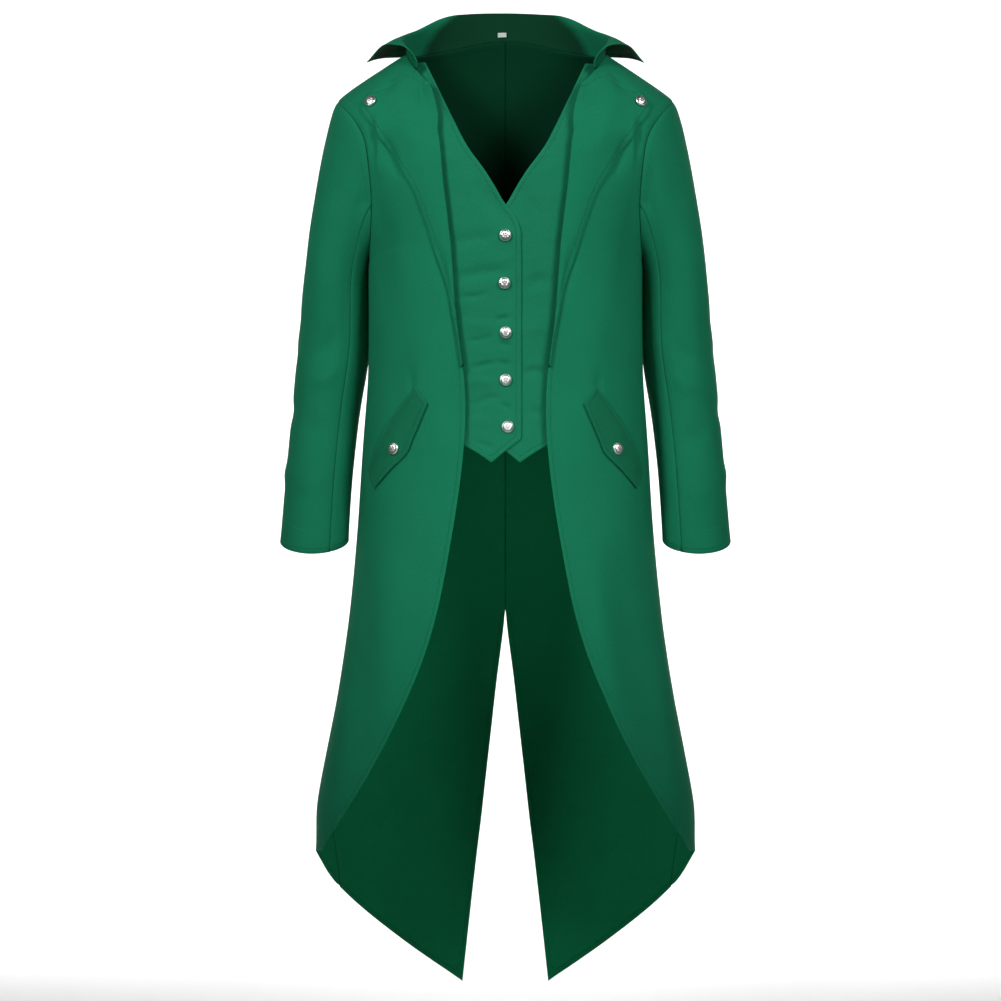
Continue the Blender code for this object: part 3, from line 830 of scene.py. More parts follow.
    def shape(self, seed: float) -> None:
        """Close the seams, press the creases and ripples into the sheet, and map the distance to its edges.

        Args:
            seed: A number that sets this panel's ripples apart from another's.
        """
        places = vertices_of(self.piece)
        normals = normals_of(self.piece)
        loop = np.array(boundary_loop(self.piece))
        rows, gaps = nearest_rows(places, self.edge)
        outwards = self.outwards(loop, places, normals)
        pull = self.moves + outwards * (SEAM_OVERLAP * MM) * self.sewn[:, None]
        places = places + pull[rows] * np.exp(-((gaps / (PULL_REACH * MM)) ** 2))[:, None]
        lift = self.ripples.rise(places, seed)
        for crease in self.creases:
            lift = lift + crease.rise(places, normals)
        to_seam, to_free = (
            distances(places, places[loop][edge]) if edge.any() else np.full(len(places), EDGE_FAR)
            for edge in (self.sewn, self.free)
        )
        lift = lift * np.clip(to_seam / (CALM_REACH * MM), 0, 1)
        lift = lift - self.seam_dip * MM * self.flush[rows] * np.exp(-((to_seam / (DIP_REACH * MM)) ** 2))
        lift = lift + self.edge_lift(places, to_free)
        move_vertices(self.piece, places + normals * lift[:, None])
        self.map_edges(to_seam, to_free)

    def edge_lift(self, places: np.ndarray, to_free: np.ndarray) -> np.ndarray:
        """How far the sheet rises near its free edges, where the cloth is turned under and doubled.

        Args:
            places: The vertices' places.
            to_free: Their distances to the free edges.

        Returns:
            The lift of each vertex, in metres.
        """
        return DOUBLED_RISE * MM * np.exp(-((to_free / (DOUBLED_REACH * MM)) ** 2))

    def map_edges(self, to_seam: np.ndarray, to_free: np.ndarray) -> None:
        """Write a second UV map with the distances to the sewn and to the free edges.

        Args:
            to_seam: Each vertex's distance to a seam.
            to_free: Its distance to a free edge.
        """
        mesh = self.piece.data
        add_map(mesh, "edges", np.minimum(to_seam, EDGE_FAR), np.minimum(to_free, EDGE_FAR))
        mesh.uv_layers.active = mesh.uv_layers["pattern"]

    def outwards(self, loop: np.ndarray, places: np.ndarray, normals: np.ndarray) -> np.ndarray:
        """The way out of the sheet at each point of its edge, in the sheet's own plane.

        Args:
            loop: The edge's vertices, in order.
            places: All vertices' places.
            normals: Their normals.

        Returns:
            A row for each vertex of the loop.
        """
        along = places[np.roll(loop, -1)] - places[np.roll(loop, 1)]
        across = np.cross(along, normals[loop])
        across /= np.maximum(np.linalg.norm(across, axis=1, keepdims=True), 1e-12)
        step = 3 * MM
        rim = places[loop]
        probe = distances(rim + across * step, places) - distances(rim - across * step, places)
        return across if probe.sum() > 0 else -across

    def inset_line(self, inset: float) -> list[np.ndarray]:
        """Lines that run on the sheet beside its free edge.

        Args:
            inset: Their distance from the edge, in mm.

        Returns:
            The lines' points, each line as an array.
        """
        places = vertices_of(self.piece)
        normals = normals_of(self.piece)
        loop = np.array(boundary_loop(self.piece))
        inwards = -self.outwards(loop, places, normals)
        keep = self.free
        tree = surface_tree(self.piece)
        rim = places[loop]
        inner = rim + inwards * inset * MM
        clear = distances(inner, rim) > 0.93 * inset * MM
        lines: list[list[Vector]] = [[]]
        order = np.roll(np.arange(len(loop)), -int(np.argmin(keep & clear)))
        for number in order:
            if keep[number] and clear[number]:
                lines[-1].append(tree.find_nearest(Vector(inner[number]))[0])
            elif lines[-1]:
                lines.append([])
        return [np.array(line) for line in lines if len(line) > 4]

    def thicken(self) -> None:
        """Give the sheet its thickness, inwards, and round its edges."""
        wall = self.piece.modifiers.new("thickness", "SOLIDIFY")
        wall.thickness = self.thickness * MM
        wall.offset = -1.0
        wall.material_offset = 1
        wall.material_offset_rim = 0
        apply_modifier(self.piece, wall)
        edge = self.piece.modifiers.new("edge", "BEVEL")
        edge.width = 0.3 * self.thickness * MM
        edge.segments = 1
        edge.limit_method = "ANGLE"
        edge.angle_limit = math.radians(60)
        apply_modifier(self.piece, edge)
        look_at_only(self.piece)
        bpy.ops.object.shade_smooth_by_angle(angle=math.radians(60))

    def hand_over(self) -> None:
        """Put the piece in the frame: attach it to its body and hide its solid."""
        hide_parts(self.node)
        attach(self.piece, BODY)
        LOG.info("%s: %d faces", self.name, len(self.piece.data.polygons))


@dataclass
class Lapel(Panel):
    """A lapel, which is the forepart's own cloth rolled back along its fold.

    Attributes:
        fold_radius: The radius of the roll, in mm.
    """

    fold_radius: float = 1.15
    folded: np.ndarray | None = None

    def find_seams(self, panels: dict[str, Panel]) -> None:
        """Find the lapel's fold, which isn't a free edge.

        Args:
            panels: All panels by name.
        """
        super().find_seams(panels)
        closest = nearest_on_loop(self.edge, panels["forepart" + self.side].edge)
        gaps = np.linalg.norm(closest - self.edge, axis=1)
        self.folded = (gaps < FOLD_REACH * MM) & (self.edge[:, 2] < FOLD_TOP * MM)
        self.free = ~self.folded

    def roll_under(self) -> None:
        """Carry the cloth round the fold, from the lapel's inner edge to the forepart's front edge."""
        loop = np.array(boundary_loop(self.piece))
        places = vertices_of(self.piece)
        normals = normals_of(self.piece)
        ring = loop[self.folded]
        outwards = self.outwards(loop, places, normals)[self.folded]
        inwards = -normals[ring]
        base = places[ring]
        radius = self.fold_radius * MM
        chosen = np.zeros(len(places), bool)
        chosen[ring] = True
        pick(self.piece, "VERT", chosen)
        for turn in (30, 60, 90, 120, 150, 180):
            bpy.ops.mesh.extrude_edges_move()
            close_mesh()
            now = vertices_of(self.piece)
            picked = np.zeros(len(now), bool)
            self.piece.data.vertices.foreach_get("select", picked)
            numbers = np.nonzero(picked)[0]
            rows, _ = nearest_rows(now[numbers], base)
            angle = math.radians(turn)
            reach = outwards * math.sin(angle) + inwards * (1 - math.cos(angle))
            target = places[ring] + reach * radius
            now[numbers] = target[rows]
            base = target
            move_vertices(self.piece, now)
            bpy.ops.object.mode_set(mode="EDIT")
        close_mesh()
        open_mesh(self.piece)
        bpy.ops.mesh.select_all(action="SELECT")
        bpy.ops.mesh.faces_shade_smooth()
        close_mesh()


@dataclass
class Waistcoat(Panel):
    """A half of the waistcoat's front, sewn in under the forepart.

    Attributes:
        depth: How deep it lies under what covers it, in mm.
        rim: How far under the cover's edge it begins to sink, in mm.
        slope: How far from there it reaches its depth, in mm.
    """

    depth: float = 7.5
    rim: float = 4.0
    slope: float = 22.0

    def tuck_under(self, cover: Panel) -> None:
        """Press what another panel covers down, clear of its creases.

        Args:
            cover: The panel that lies on it.
        """
        places = vertices_of(self.piece)
        normals = normals_of(self.piece)
        tree = surface_tree(cover.piece)
        covered = np.array([
            tree.ray_cast(Vector(place), Vector(normal), 0.03)[0] is not None
            for place, normal in zip(places, normals)
        ])
        if covered.all() or not covered.any():
            return
        inside = distances(places, places[~covered])
        share = np.clip((inside - self.rim * MM) / (self.slope * MM), 0, 1)
        sink = self.depth * MM * share * share * (3 - 2 * share)
        move_vertices(self.piece, places - normals * sink[:, None])


@dataclass
class Flap(Panel):
    """A pocket flap, sewn down along its upper edge.

    Attributes:
        sewn_line: The line of its seam in the front view, in mm.
        sink: How deep it sinks there, in mm.
    """

    sewn_line: tuple[tuple[float, float], ...] = ()
    sink: float = 1.5

    def edge_lift(self, places: np.ndarray, to_free: np.ndarray) -> np.ndarray:
        """Sink the flap towards the forepart along its seam.

        Args:
            places: The vertices' places.
            to_free: Their distances to the free edges.

        Returns:
            The lift of each vertex, in metres.
        """
        points = np.array(self.sewn_line) * MM
        away = np.full(len(places), 1.0)
        for first, second in zip(points[:-1], points[1:]):
            way = second - first
            share = np.clip(((places[:, (0, 2)] - first) @ way) / (way @ way), 0, 1)
            gap = places[:, (0, 2)] - first - share[:, None] * way
            away = np.minimum(away, np.linalg.norm(gap, axis=1))
        edge = super().edge_lift(places, to_free)
        return edge - self.sink * MM * np.exp(-((away / (STITCH_INSET * MM)) ** 2))


@dataclass(frozen=True)
class Cloth:
    """Fine matt twill, dyed green.

    Attributes:
        name: The material's name.
        colour: Its colour.
        roughness: Its roughness; not used.
        sheen: How strong the soft light in its nap is.
        depth: How deep its weave is, in mm.
        gloss: How much its threads shine.
    """

    name: str
    colour: tuple[float, float, float]
    roughness: float = 0.9
    sheen: float = 0.05
    depth: float = 0.22
    gloss: float = 0.12

    def make(
        self, weaves: Weaves, shade_lining: Cloth | None = None, painted_shade_down_to: float | None = None
    ) -> bpy.types.Material:
        """The material of the cloth's face.

        Args:
            weaves: The shared node groups.
            shade_lining: The dark cloth that takes its place on a part of the piece as painted shade, if
                any.
            painted_shade_down_to: The height that the dark cloth of painted shade reaches down to. Without
                it, the "turn" map sets it.

        Returns:
            The material.
        """
        material, tree, shader = start_material(self.name if shade_lining is None else self.name + "_turned")
        link = tree.links.new
        weave = tree.nodes.new("ShaderNodeGroup")
        weave.node_tree = weaves.twill
        press = tree.nodes.new("ShaderNodeGroup")
        press.node_tree = weaves.pressed
        pattern = tree.nodes.new("ShaderNodeUVMap")
        pattern.uv_map = "pattern"
        edges = tree.nodes.new("ShaderNodeUVMap")
        edges.uv_map = "edges"
        solid = tree.nodes.new("ShaderNodeTexCoord")
        link(pattern.outputs["UV"], weave.inputs["Pattern"])
        link(solid.outputs["Object"], weave.inputs["Place"])
        link(edges.outputs["UV"], press.inputs["Edges"])
        tint = self.tint(tree)
        link(weave.outputs["Shade"], tint.inputs["Factor"])
        colour = tint.outputs["Result"]
        # Painted shade: a dark cloth mixed in above a height, or on the collar's inner band from the "turn"
        # map
        if shade_lining is not None:
            inner = shade_lining.tint(tree)
            link(weave.outputs["Shade"], inner.inputs["Factor"])
            mask = tree.nodes.new("ShaderNodeMapRange")
            parts = tree.nodes.new("ShaderNodeSeparateXYZ")
            if painted_shade_down_to is None:
                turn = tree.nodes.new("ShaderNodeUVMap")
                turn.uv_map = "turn"
                link(turn.outputs["UV"], parts.inputs["Vector"])
                link(parts.outputs["X"], mask.inputs["Value"])
            else:
                link(solid.outputs["Object"], parts.inputs["Vector"])
                link(parts.outputs["Z"], mask.inputs["Value"])
                mask.inputs["From Min"].default_value = painted_shade_down_to + 2 * MM
                mask.inputs["From Max"].default_value = painted_shade_down_to - 2 * MM
            both = tree.nodes.new("ShaderNodeMix")
            both.data_type = "RGBA"
            link(mask.outputs["Result"], both.inputs["Factor"])
            link(inner.outputs["Result"], both.inputs["A"])
            link(colour, both.inputs["B"])
            colour = both.outputs["Result"]
        # The pressed group's Shade is painted shade along seams and in grooves, and a painted highlight on
        # rolled edges
        shaded = tree.nodes.new("ShaderNodeMix")
        shaded.data_type = "RGBA"
        shaded.blend_type = "MULTIPLY"
        shaded.inputs["Factor"].default_value = 1.0
        link(colour, shaded.inputs["A"])
        link(press.outputs["Shade"], shaded.inputs["B"])
        link(shaded.outputs["Result"], shader.inputs["Base Color"])
        fine = tree.nodes.new("ShaderNodeBump")
        fine.inputs["Strength"].default_value = 0.5
        fine.inputs["Distance"].default_value = self.depth * MM
        coarse = tree.nodes.new("ShaderNodeBump")
        coarse.inputs["Strength"].default_value = 0.8
        coarse.inputs["Distance"].default_value = 0.6 * MM
        link(weave.outputs["Height"], fine.inputs["Height"])
        link(press.outputs["Height"], coarse.inputs["Height"])
        link(coarse.outputs["Normal"], fine.inputs["Normal"])
        link(fine.outputs["Normal"], shader.inputs["Normal"])
        link(weave.outputs["Roughness"], shader.inputs["Roughness"])
        shader.inputs["Sheen Weight"].default_value = self.sheen
        shader.inputs["Sheen Roughness"].default_value = 0.55
        shader.inputs["Sheen Tint"].default_value = (*[min(1.0, c * 3 + 0.05) for c in self.colour], 1.0)
        shader.inputs["Specular IOR Level"].default_value = self.gloss
        return material

    def tint(self, tree: bpy.types.ShaderNodeTree) -> bpy.types.ShaderNode:
        """A mix from the cloth's darkest to its lightest thread."""
        return colour_mix(tree, *thread_tones(self.colour, 0.66, 1.3))


class Weaves:
    """The node groups that all cloths share."""

    def __init__(self) -> None:
        """Make the groups."""
        self.twill = self.make_twill()
        self.pressed = self.make_pressed_with_painted_light()

    @staticmethod
    def start(
        name: str, inputs: tuple[str, ...], outputs: tuple[tuple[str, str], ...]
    ) -> bpy.types.ShaderNodeTree:
        """An empty group with its sockets.

        Args:
            name: The group's name.
            inputs: The names of its vector inputs.
            outputs: The name and socket type of each output.

        Returns:
            The group.
        """
        group = bpy.data.node_groups.new(name, "ShaderNodeTree")
        for socket in inputs:
            group.interface.new_socket(socket, in_out="INPUT", socket_type="NodeSocketVector")
        for socket, kind in outputs:
            group.interface.new_socket(socket, in_out="OUTPUT", socket_type=kind)
        return group

    @staticmethod
    def sum_up(
        group: bpy.types.ShaderNodeTree, terms: list[tuple[bpy.types.NodeSocket, float]], base: float
    ) -> bpy.types.NodeSocket:
        """The weighted sum of some values.

        Args:
            group: The group to add the nodes to.
            terms: Each value with its weight.
            base: What is added to them.

        Returns:
            The socket that puts out the sum.
        """
        total = None
        for source, weight in terms:
            node = group.nodes.new("ShaderNodeMath")
            node.operation = "MULTIPLY_ADD"
            group.links.new(source, node.inputs[0])
            node.inputs[1].default_value = weight
            if total is None:
                node.inputs[2].default_value = base
            else:
                group.links.new(total, node.inputs[2])
            total = node.outputs[0]
        return total

    def make_twill(self) -> bpy.types.ShaderNodeTree:
        """A fine twill: diagonal ribs, uneven threads and soft clouding."""
        outputs = tuple((name, "NodeSocketFloat") for name in ("Shade", "Height", "Roughness"))
        group = self.start("twill", ("Pattern", "Place"), outputs)
        nodes = group.nodes
        link = group.links.new
        given = nodes.new("NodeGroupInput")
        made = nodes.new("NodeGroupOutput")
        ribs = nodes.new("ShaderNodeTexWave")
        ribs.wave_type = "BANDS"
        ribs.bands_direction = "DIAGONAL"
        ribs.inputs["Scale"].default_value = 260.0
        ribs.inputs["Distortion"].default_value = 0.8
        ribs.inputs["Detail"].default_value = 1.0
        ribs.inputs["Detail Scale"].default_value = 2.0
        threads = self.noise(group, 1700.0, 2.0)
        grain = self.noise(group, 420.0, 3.0)
        clouds = self.noise(group, 17.0, 4.0)
        link(given.outputs["Pattern"], ribs.inputs["Vector"])
        link(given.outputs["Pattern"], threads.inputs["Vector"])
        link(given.outputs["Pattern"], grain.inputs["Vector"])
        link(given.outputs["Place"], clouds.inputs["Vector"])
        rib, thread = ribs.outputs["Fac"], threads.outputs["Fac"]
        shade = [(rib, 0.16), (thread, 0.28), (grain.outputs["Fac"], 0.5), (clouds.outputs["Fac"], 0.26)]
        link(self.sum_up(group, shade, -0.1), made.inputs["Shade"])
        link(self.sum_up(group, [(rib, 0.7), (thread, 0.5)], 0.0), made.inputs["Height"])
        link(self.sum_up(group, [(thread, 0.12)], 0.83), made.inputs["Roughness"])
        return group

    @staticmethod
    def noise(group: bpy.types.ShaderNodeTree, scale: float, detail: float) -> bpy.types.ShaderNode:
        """A noise texture of one scale.

        Args:
            group: The group to add it to.
            scale: Its scale.
            detail: Its detail.

        Returns:
            The node.
        """
        node = group.nodes.new("ShaderNodeTexNoise")
        node.inputs["Scale"].default_value = scale
        node.inputs["Detail"].default_value = detail
        return node

    def make_pressed_with_painted_light(self) -> bpy.types.ShaderNodeTree:
        """The bumps of the topstitch groove, the rolled free edge and the seam, with painted shade in the
        groove and along the seam and a painted highlight on the rolled edge.
        """
        outputs = (("Shade", "NodeSocketColor"), ("Height", "NodeSocketFloat"))
        group = self.start("pressed", ("Edges",), outputs)
        nodes = group.nodes
        link = group.links.new
        given = nodes.new("NodeGroupInput")
        made = nodes.new("NodeGroupOutput")
        parts = nodes.new("ShaderNodeSeparateXYZ")
        link(given.outputs["Edges"], parts.inputs["Vector"])
        groove = self.band(group, parts.outputs["Y"], STITCH_INSET * MM, 1.1 * MM)
        rolled = self.band(group, parts.outputs["Y"], 0.0, 2.2 * MM)
        seam = self.band(group, parts.outputs["X"], 0.0, 1.3 * MM)
        allowance = self.band(group, parts.outputs["X"], 11 * MM, 2.5 * MM)
        height = self.sum_up(group, [(groove, -1.0), (rolled, -0.5), (seam, -1.2), (allowance, -0.25)], 1.2)
        link(height, made.inputs["Height"])
        # Painted shade in the topstitch groove and along the seam, and a painted highlight on the rolled
        # free edge
        shade = self.sum_up(group, [(groove, -0.12), (seam, -0.45), (rolled, 0.16)], 1.0)
        link(shade, made.inputs["Shade"])
        return group

    @staticmethod
    def band(
        group: bpy.types.ShaderNodeTree, source: bpy.types.NodeSocket, centre: float, half: float
    ) -> bpy.types.NodeSocket:
        """A value that is 1 where the source is at a centre, and falls softly to 0 on both sides.

        Args:
            group: The group to add the nodes to.
            source: The value that it follows.
            centre: Where it is 1.
            half: How far from there it reaches 0.

        Returns:
            The socket that puts it out.
        """
        away = group.nodes.new("ShaderNodeMath")
        away.operation = "SUBTRACT"
        group.links.new(source, away.inputs[0])
        away.inputs[1].default_value = centre
        size = group.nodes.new("ShaderNodeMath")
        size.operation = "ABSOLUTE"
        group.links.new(away.outputs[0], size.inputs[0])
        fall = group.nodes.new("ShaderNodeMapRange")
        fall.interpolation_type = "SMOOTHSTEP"
        fall.inputs["From Max"].default_value = half
        fall.inputs["To Min"].default_value = 1.0
        fall.inputs["To Max"].default_value = 0.0
        group.links.new(size.outputs[0], fall.inputs["Value"])
        return fall.outputs["Result"]


@dataclass(frozen=True)
class Metal:
    """Silvery cast metal, a little worn, dark in its hollows."""

    name: str = "button_metal"
    bright: tuple[float, float, float] = (0.80, 0.84, 0.80)
    dark: tuple[float, float, float] = (0.16, 0.20, 0.17)
    roughness: float = 0.30

    def make(self) -> bpy.types.Material:
        """The material."""
        material, tree, shader = start_material(self.name)
        link = tree.links.new
        relief = tree.nodes.new("ShaderNodeUVMap")
        relief.uv_map = "relief"
        parts = tree.nodes.new("ShaderNodeSeparateXYZ")
        link(relief.outputs["UV"], parts.inputs["Vector"])
        place = tree.nodes.new("ShaderNodeTexCoord")
        stains = tree.nodes.new("ShaderNodeTexNoise")
        stains.inputs["Scale"].default_value = 900.0
        stains.inputs["Detail"].default_value = 4.0
        link(place.outputs["Object"], stains.inputs["Vector"])
        depth = tree.nodes.new("ShaderNodeMapRange")
        depth.inputs["From Min"].default_value = 0.15
        depth.inputs["From Max"].default_value = 0.62
        link(parts.outputs["X"], depth.inputs["Value"])
        mix = colour_mix(tree, self.dark, self.bright)
        link(depth.outputs["Result"], mix.inputs["Factor"])
        link(mix.outputs["Result"], shader.inputs["Base Color"])
        rough = tree.nodes.new("ShaderNodeMapRange")
        rough.inputs["To Min"].default_value = self.roughness - 0.08
        rough.inputs["To Max"].default_value = self.roughness + 0.14
        link(stains.outputs["Fac"], rough.inputs["Value"])
        link(rough.outputs["Result"], shader.inputs["Roughness"])
        bump = tree.nodes.new("ShaderNodeBump")
        bump.inputs["Strength"].default_value = 0.2
        bump.inputs["Distance"].default_value = 0.08 * MM
        link(stains.outputs["Fac"], bump.inputs["Height"])
        link(bump.outputs["Normal"], shader.inputs["Normal"])
        shader.inputs["Metallic"].default_value = 1.0
        return material


@dataclass(frozen=True)
class Thread:
    """Spun polyester thread with a slight gloss."""

    name: str
    colour: tuple[float, float, float]

    def make(self) -> bpy.types.Material:
        """The material."""
        material, tree, shader = start_material(self.name)
        place = tree.nodes.new("ShaderNodeTexCoord")
        fuzz = tree.nodes.new("ShaderNodeTexNoise")
        fuzz.inputs["Scale"].default_value = 2500.0
        mix = colour_mix(tree, *thread_tones(self.colour, 0.7, 1.4))
        tree.links.new(place.outputs["Object"], fuzz.inputs["Vector"])
        tree.links.new(fuzz.outputs["Fac"], mix.inputs["Factor"])
        tree.links.new(mix.outputs["Result"], shader.inputs["Base Color"])
        shader.inputs["Roughness"].default_value = 0.55
        shader.inputs["Specular IOR Level"].default_value = 0.3
        return material


@dataclass
class Label:
    """A bare woven tape, sewn down at its two ends."""

    node: str = "neck_label"
    name: str = "label_tape"

    def build(self, weaves: Weaves, thread: bpy.types.Material) -> None:
        """Make the tape and the stitches at its ends.

        Args:
            weaves: The shared node groups.
            thread: The material of its stitches.
        """
        tape = Panel(
            self.name, self.node, Facing.FRONT, CUTS["label_tape"], slot="label_cloth", thickness=0.5,
            ripples=Ripples(height=0.25, size=9.0, stretch=1.0),
        )
        tape.lay_out()
        tape.find_seams({})
        tape.shape(3.1)
        cloth = Cloth("label_cloth", (0.50, 0.56, 0.52), sheen=0.1, depth=0.1).make(weaves)
        tape.piece.data.materials.append(cloth)
        tape.piece.data.materials.append(cloth)
        places = vertices_of(tape.piece)
        low, high = places.min(axis=0), places.max(axis=0)
        ends = []
        for across in (low[0] + 0.9 * MM, high[0] - 0.9 * MM):
            column = np.linspace(low[2] + 0.4 * MM, high[2] - 0.4 * MM, 8)
            ends.append(np.array([(across, low[1], height) for height in column]))
        Stitching("label_stitches", ends, tape.piece, pitch=1.3, length=1.0, width=0.3).build(thread)
        tape.thicken()
        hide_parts(self.node)
        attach(tape.piece, BODY)


@dataclass
class Stitching:
    """Rows of short stitches, all of one piece.

    Attributes:
        name: The piece's name.
        lines: The lines that they follow.
        normals_from: The sheet that they lie on.
        pitch: The distance from stitch to stitch, in mm.
        length: Each stitch's length, in mm.
        width: The thread's thickness, in mm.
    """

    name: str
    lines: list[np.ndarray]
    normals_from: bpy.types.Object
    pitch: float = 3.2
    length: float = 2.5
    width: float = 0.42
    piece: bpy.types.Object | None = None

    def build(self, material: bpy.types.Material) -> None:
        """Make the stitches and join them in one mesh.

        Args:
            material: The thread's material.
        """
        bpy.ops.object.select_all(action="DESELECT")
        bpy.ops.mesh.primitive_uv_sphere_add(segments=6, ring_count=4, radius=0.5)
        self.piece = bpy.context.active_object
        self.piece.name = self.name
        shape = vertices_of(self.piece) * np.array([self.width, self.width * 0.8, self.length]) * MM
        faces = [list(face.vertices) for face in self.piece.data.polygons]
        tree = surface_tree(self.normals_from)
        points, rings = [], []
        for line in self.lines:
            for middle, way in self.spread(line):
                normal = tree.find_nearest(Vector(middle))[1]
                along = Vector(way)
                along = (along - normal * along.dot(normal)).normalized()
                frame_axes = np.array([along.cross(normal), normal, along])
                base = len(points) * len(shape)
                points.append(np.array(middle) + np.array(normal) * 0.08 * MM + shape @ frame_axes)
                rings += [[base + corner for corner in face] for face in faces]
        mesh = bpy.data.meshes.new(self.name)
        mesh.from_pydata(np.concatenate(points).tolist(), [], rings)
        self.piece.data = mesh
        mesh.materials.append(material)
        look_at_only(self.piece)
        bpy.ops.object.shade_smooth()
        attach(self.piece, BODY)

    def spread(self, line: np.ndarray) -> list[tuple[np.ndarray, np.ndarray]]:
        """The middle and the direction of each stitch on a line.

        Args:
            line: The line's points.

        Returns:
            A middle and a direction for each stitch.
        """
        steps = np.diff(line, axis=0)
        lengths = np.linalg.norm(steps, axis=1)
        reached = np.concatenate([[0.0], np.cumsum(lengths)])
        places = np.arange(0.5 * self.pitch * MM, reached[-1], self.pitch * MM)
        found = []
        for place in places:
            number = min(int(np.searchsorted(reached, place, side="right")) - 1, len(steps) - 1)
            share = (place - reached[number]) / max(lengths[number], 1e-9)
            found.append((line[number] + steps[number] * share, steps[number]))
        return found


@dataclass
class Button:
    """A domed metal button with a rope round its rim and a rosette of petals.

    Attributes:
        node: The solid that it stands for.
        turn: How far it is turned on its shank, in degrees.
        radius: Its radius, in mm.
        rise: How far its middle stands off the cloth, in mm.
        petals: The number of petals.
        strands: The number of turns in the rope.
        front_part: The part of the ball, from its pole, that becomes the front.
        rope_at: Where the rope lies, as a share of the radius.
        valley_at: Where the hollow inside it lies.
    """

    node: str
    turn: float
    radius: float = 8.0
    rise: float = 4.6
    petals: int = 8
    strands: int = 24
    front_part: float = 0.78
    rope_at: float = 0.86
    valley_at: float = 0.73

    def seat(self) -> tuple[np.ndarray, np.ndarray]:
        """The middle of its back and the way that it faces, from its solid.

        Returns:
            The place and the direction.
        """
        places = vertices_of(frame["nodes"][self.node])
        middle = places.mean(axis=0)
        _, _, ways = np.linalg.svd(places - middle)
        axis = ways[2] if ways[2][1] < 0 else -ways[2]
        heights = (places - middle) @ axis
        back = places[heights < heights.min() + 0.05 * MM]
        return back.mean(axis=0), axis

    def build(self, material: bpy.types.Material) -> None:
        """Make the button in its place.

        Args:
            material: Its metal.
        """
        bpy.ops.object.select_all(action="DESELECT")
        bpy.ops.mesh.primitive_uv_sphere_add(segments=96, ring_count=32, radius=1.0)
        piece = bpy.context.active_object
        piece.name = "metal_" + self.node
        ball = vertices_of(piece)
        polar = np.arccos(np.clip(ball[:, 2], -1, 1)) / math.pi
        around = np.arctan2(ball[:, 1], ball[:, 0]) + math.radians(self.turn)
        in_front = polar < self.front_part
        front = np.sin(np.clip(polar / self.front_part, 0, 1) * math.pi / 2) ** 0.9
        behind = np.clip((1 - polar) / (1 - self.front_part), 0, 1) * 0.93
        share = np.where(in_front, front, behind)
        dome = self.rise * (0.30 + 0.70 * np.sqrt(np.clip(1 - share ** 2.2, 0, 1)))
        petal = np.abs(np.cos(around * self.petals / 2)) ** 0.7
        petal = petal * np.sin(np.clip((share - 0.2) / 0.48, 0, 1) * math.pi)
        rope = 0.5 + 0.5 * np.cos(around * self.strands + share * 22)
        rope = rope * np.exp(-(((share - self.rope_at) / 0.075) ** 2))
        boss = np.exp(-((share / 0.13) ** 4))
        relief = 0.45 * petal + 0.40 * rope + 0.45 * boss
        valley = np.exp(-(((share - self.valley_at) / 0.04) ** 2))
        height = np.where(in_front, dome + 0.75 * relief - 0.25 * valley, -0.6)
        height = np.where(in_front & (polar >= self.front_part - 0.04), dome * 0.4, height)
        radii = self.radius * np.clip(share, 0, 1)
        local = np.stack([radii * np.cos(around), radii * np.sin(around), height], axis=-1) * MM
        centre, axis = self.seat()
        turn = np.array(Vector((0, 0, 1)).rotation_difference(Vector(axis)).to_matrix())
        move_vertices(piece, local @ turn.T + centre)
        lit = np.clip(0.45 + relief - 0.5 * valley + 0.25 * (share > 0.93), 0, 1)
        add_map(piece.data, "relief", lit, lit)
        piece.data.materials.append(material)
        look_at_only(piece)
        bpy.ops.object.shade_smooth()
        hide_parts(self.node)
        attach(piece, BODY)


CUTS = {
    "forepart": Cut(0.267, 1.174, 0.182),
    "back_panel": Cut(0.287, 1.311, 0.287),
    "lapel_cloth": Cut(0.095, 0.417, 0.0200, wall=1.6),
    "pocket_flap": Cut(0.052, 0.143, 0.0056, wall=1.6),
    "waistcoat_half": Cut(0.285, 0.569, 0.100, wall=1.5),
    "sleeve_top_cloth": Cut(0.259, 0.607, 0.124),
    "sleeve_under_cloth": Cut(0.168, 0.460, 0.0445),
    "collar_cloth": Cut(0.515, 0.209, 0.0481, wall=1.6),
    "label_tape": Cut(0.012, 0.007, 0.00008, wall=1.0),
}

# Each row is a crease: its line (across and height, in mm), half its width and its rise, in mm
FOREPART_CREASES = {
    "left": (
        (((-175, -90), (-172, -113), (-171, -139)), 6, -2.0),
        (((-167, -87), (-166, -118), (-165, -157)), 5, 1.2),
        (((-157, -116), (-150, -134), (-140, -160)), 7, -2.2),
        (((-119, -418), (-121, -429), (-122, -442)), 5, -1.0),
        (((-87, -255), (-81, -289), (-72, -325)), 9, -1.6),
        (((-172, -183), (-162, -234), (-157, -325)), 16, -1.8),
        (((-110, -312), (-105, -402), (-98, -505)), 26, 2.4),
        (((-152, -634), (-159, -737), (-170, -840)), 22, 2.2),
        (((-105, -660), (-121, -763), (-141, -840)), 18, -1.8),
        (((-198, -763), (-208, -866), (-221, -969)), 16, 1.8),
        (((-162, -51), (-152, -41), (-141, -31)), 8, -2.0),
    ),
    "right": (
        (((175, -90), (173, -111), (172, -134)), 6, -1.8),
        (((167, -90), (165, -116), (164, -149)), 5, 1.1),
        (((156, -118), (150, -136), (140, -161)), 7, -2.0),
        (((118, -419), (119, -430), (120, -443)), 5, -1.0),
        (((87, -258), (80, -292), (73, -325)), 9, -1.5),
        (((173, -191), (164, -241), (160, -338)), 16, -1.7),
        (((114, -325), (109, -408), (101, -518)), 26, 2.2),
        (((111, -660), (123, -763), (140, -847)), 17, 2.2),
        (((150, -660), (160, -750), (173, -828)), 20, -1.8),
        (((198, -776), (207, -873), (220, -969)), 15, 1.8),
        (((162, -51), (151, -41), (141, -32)), 8, -2.0),
    ),
}
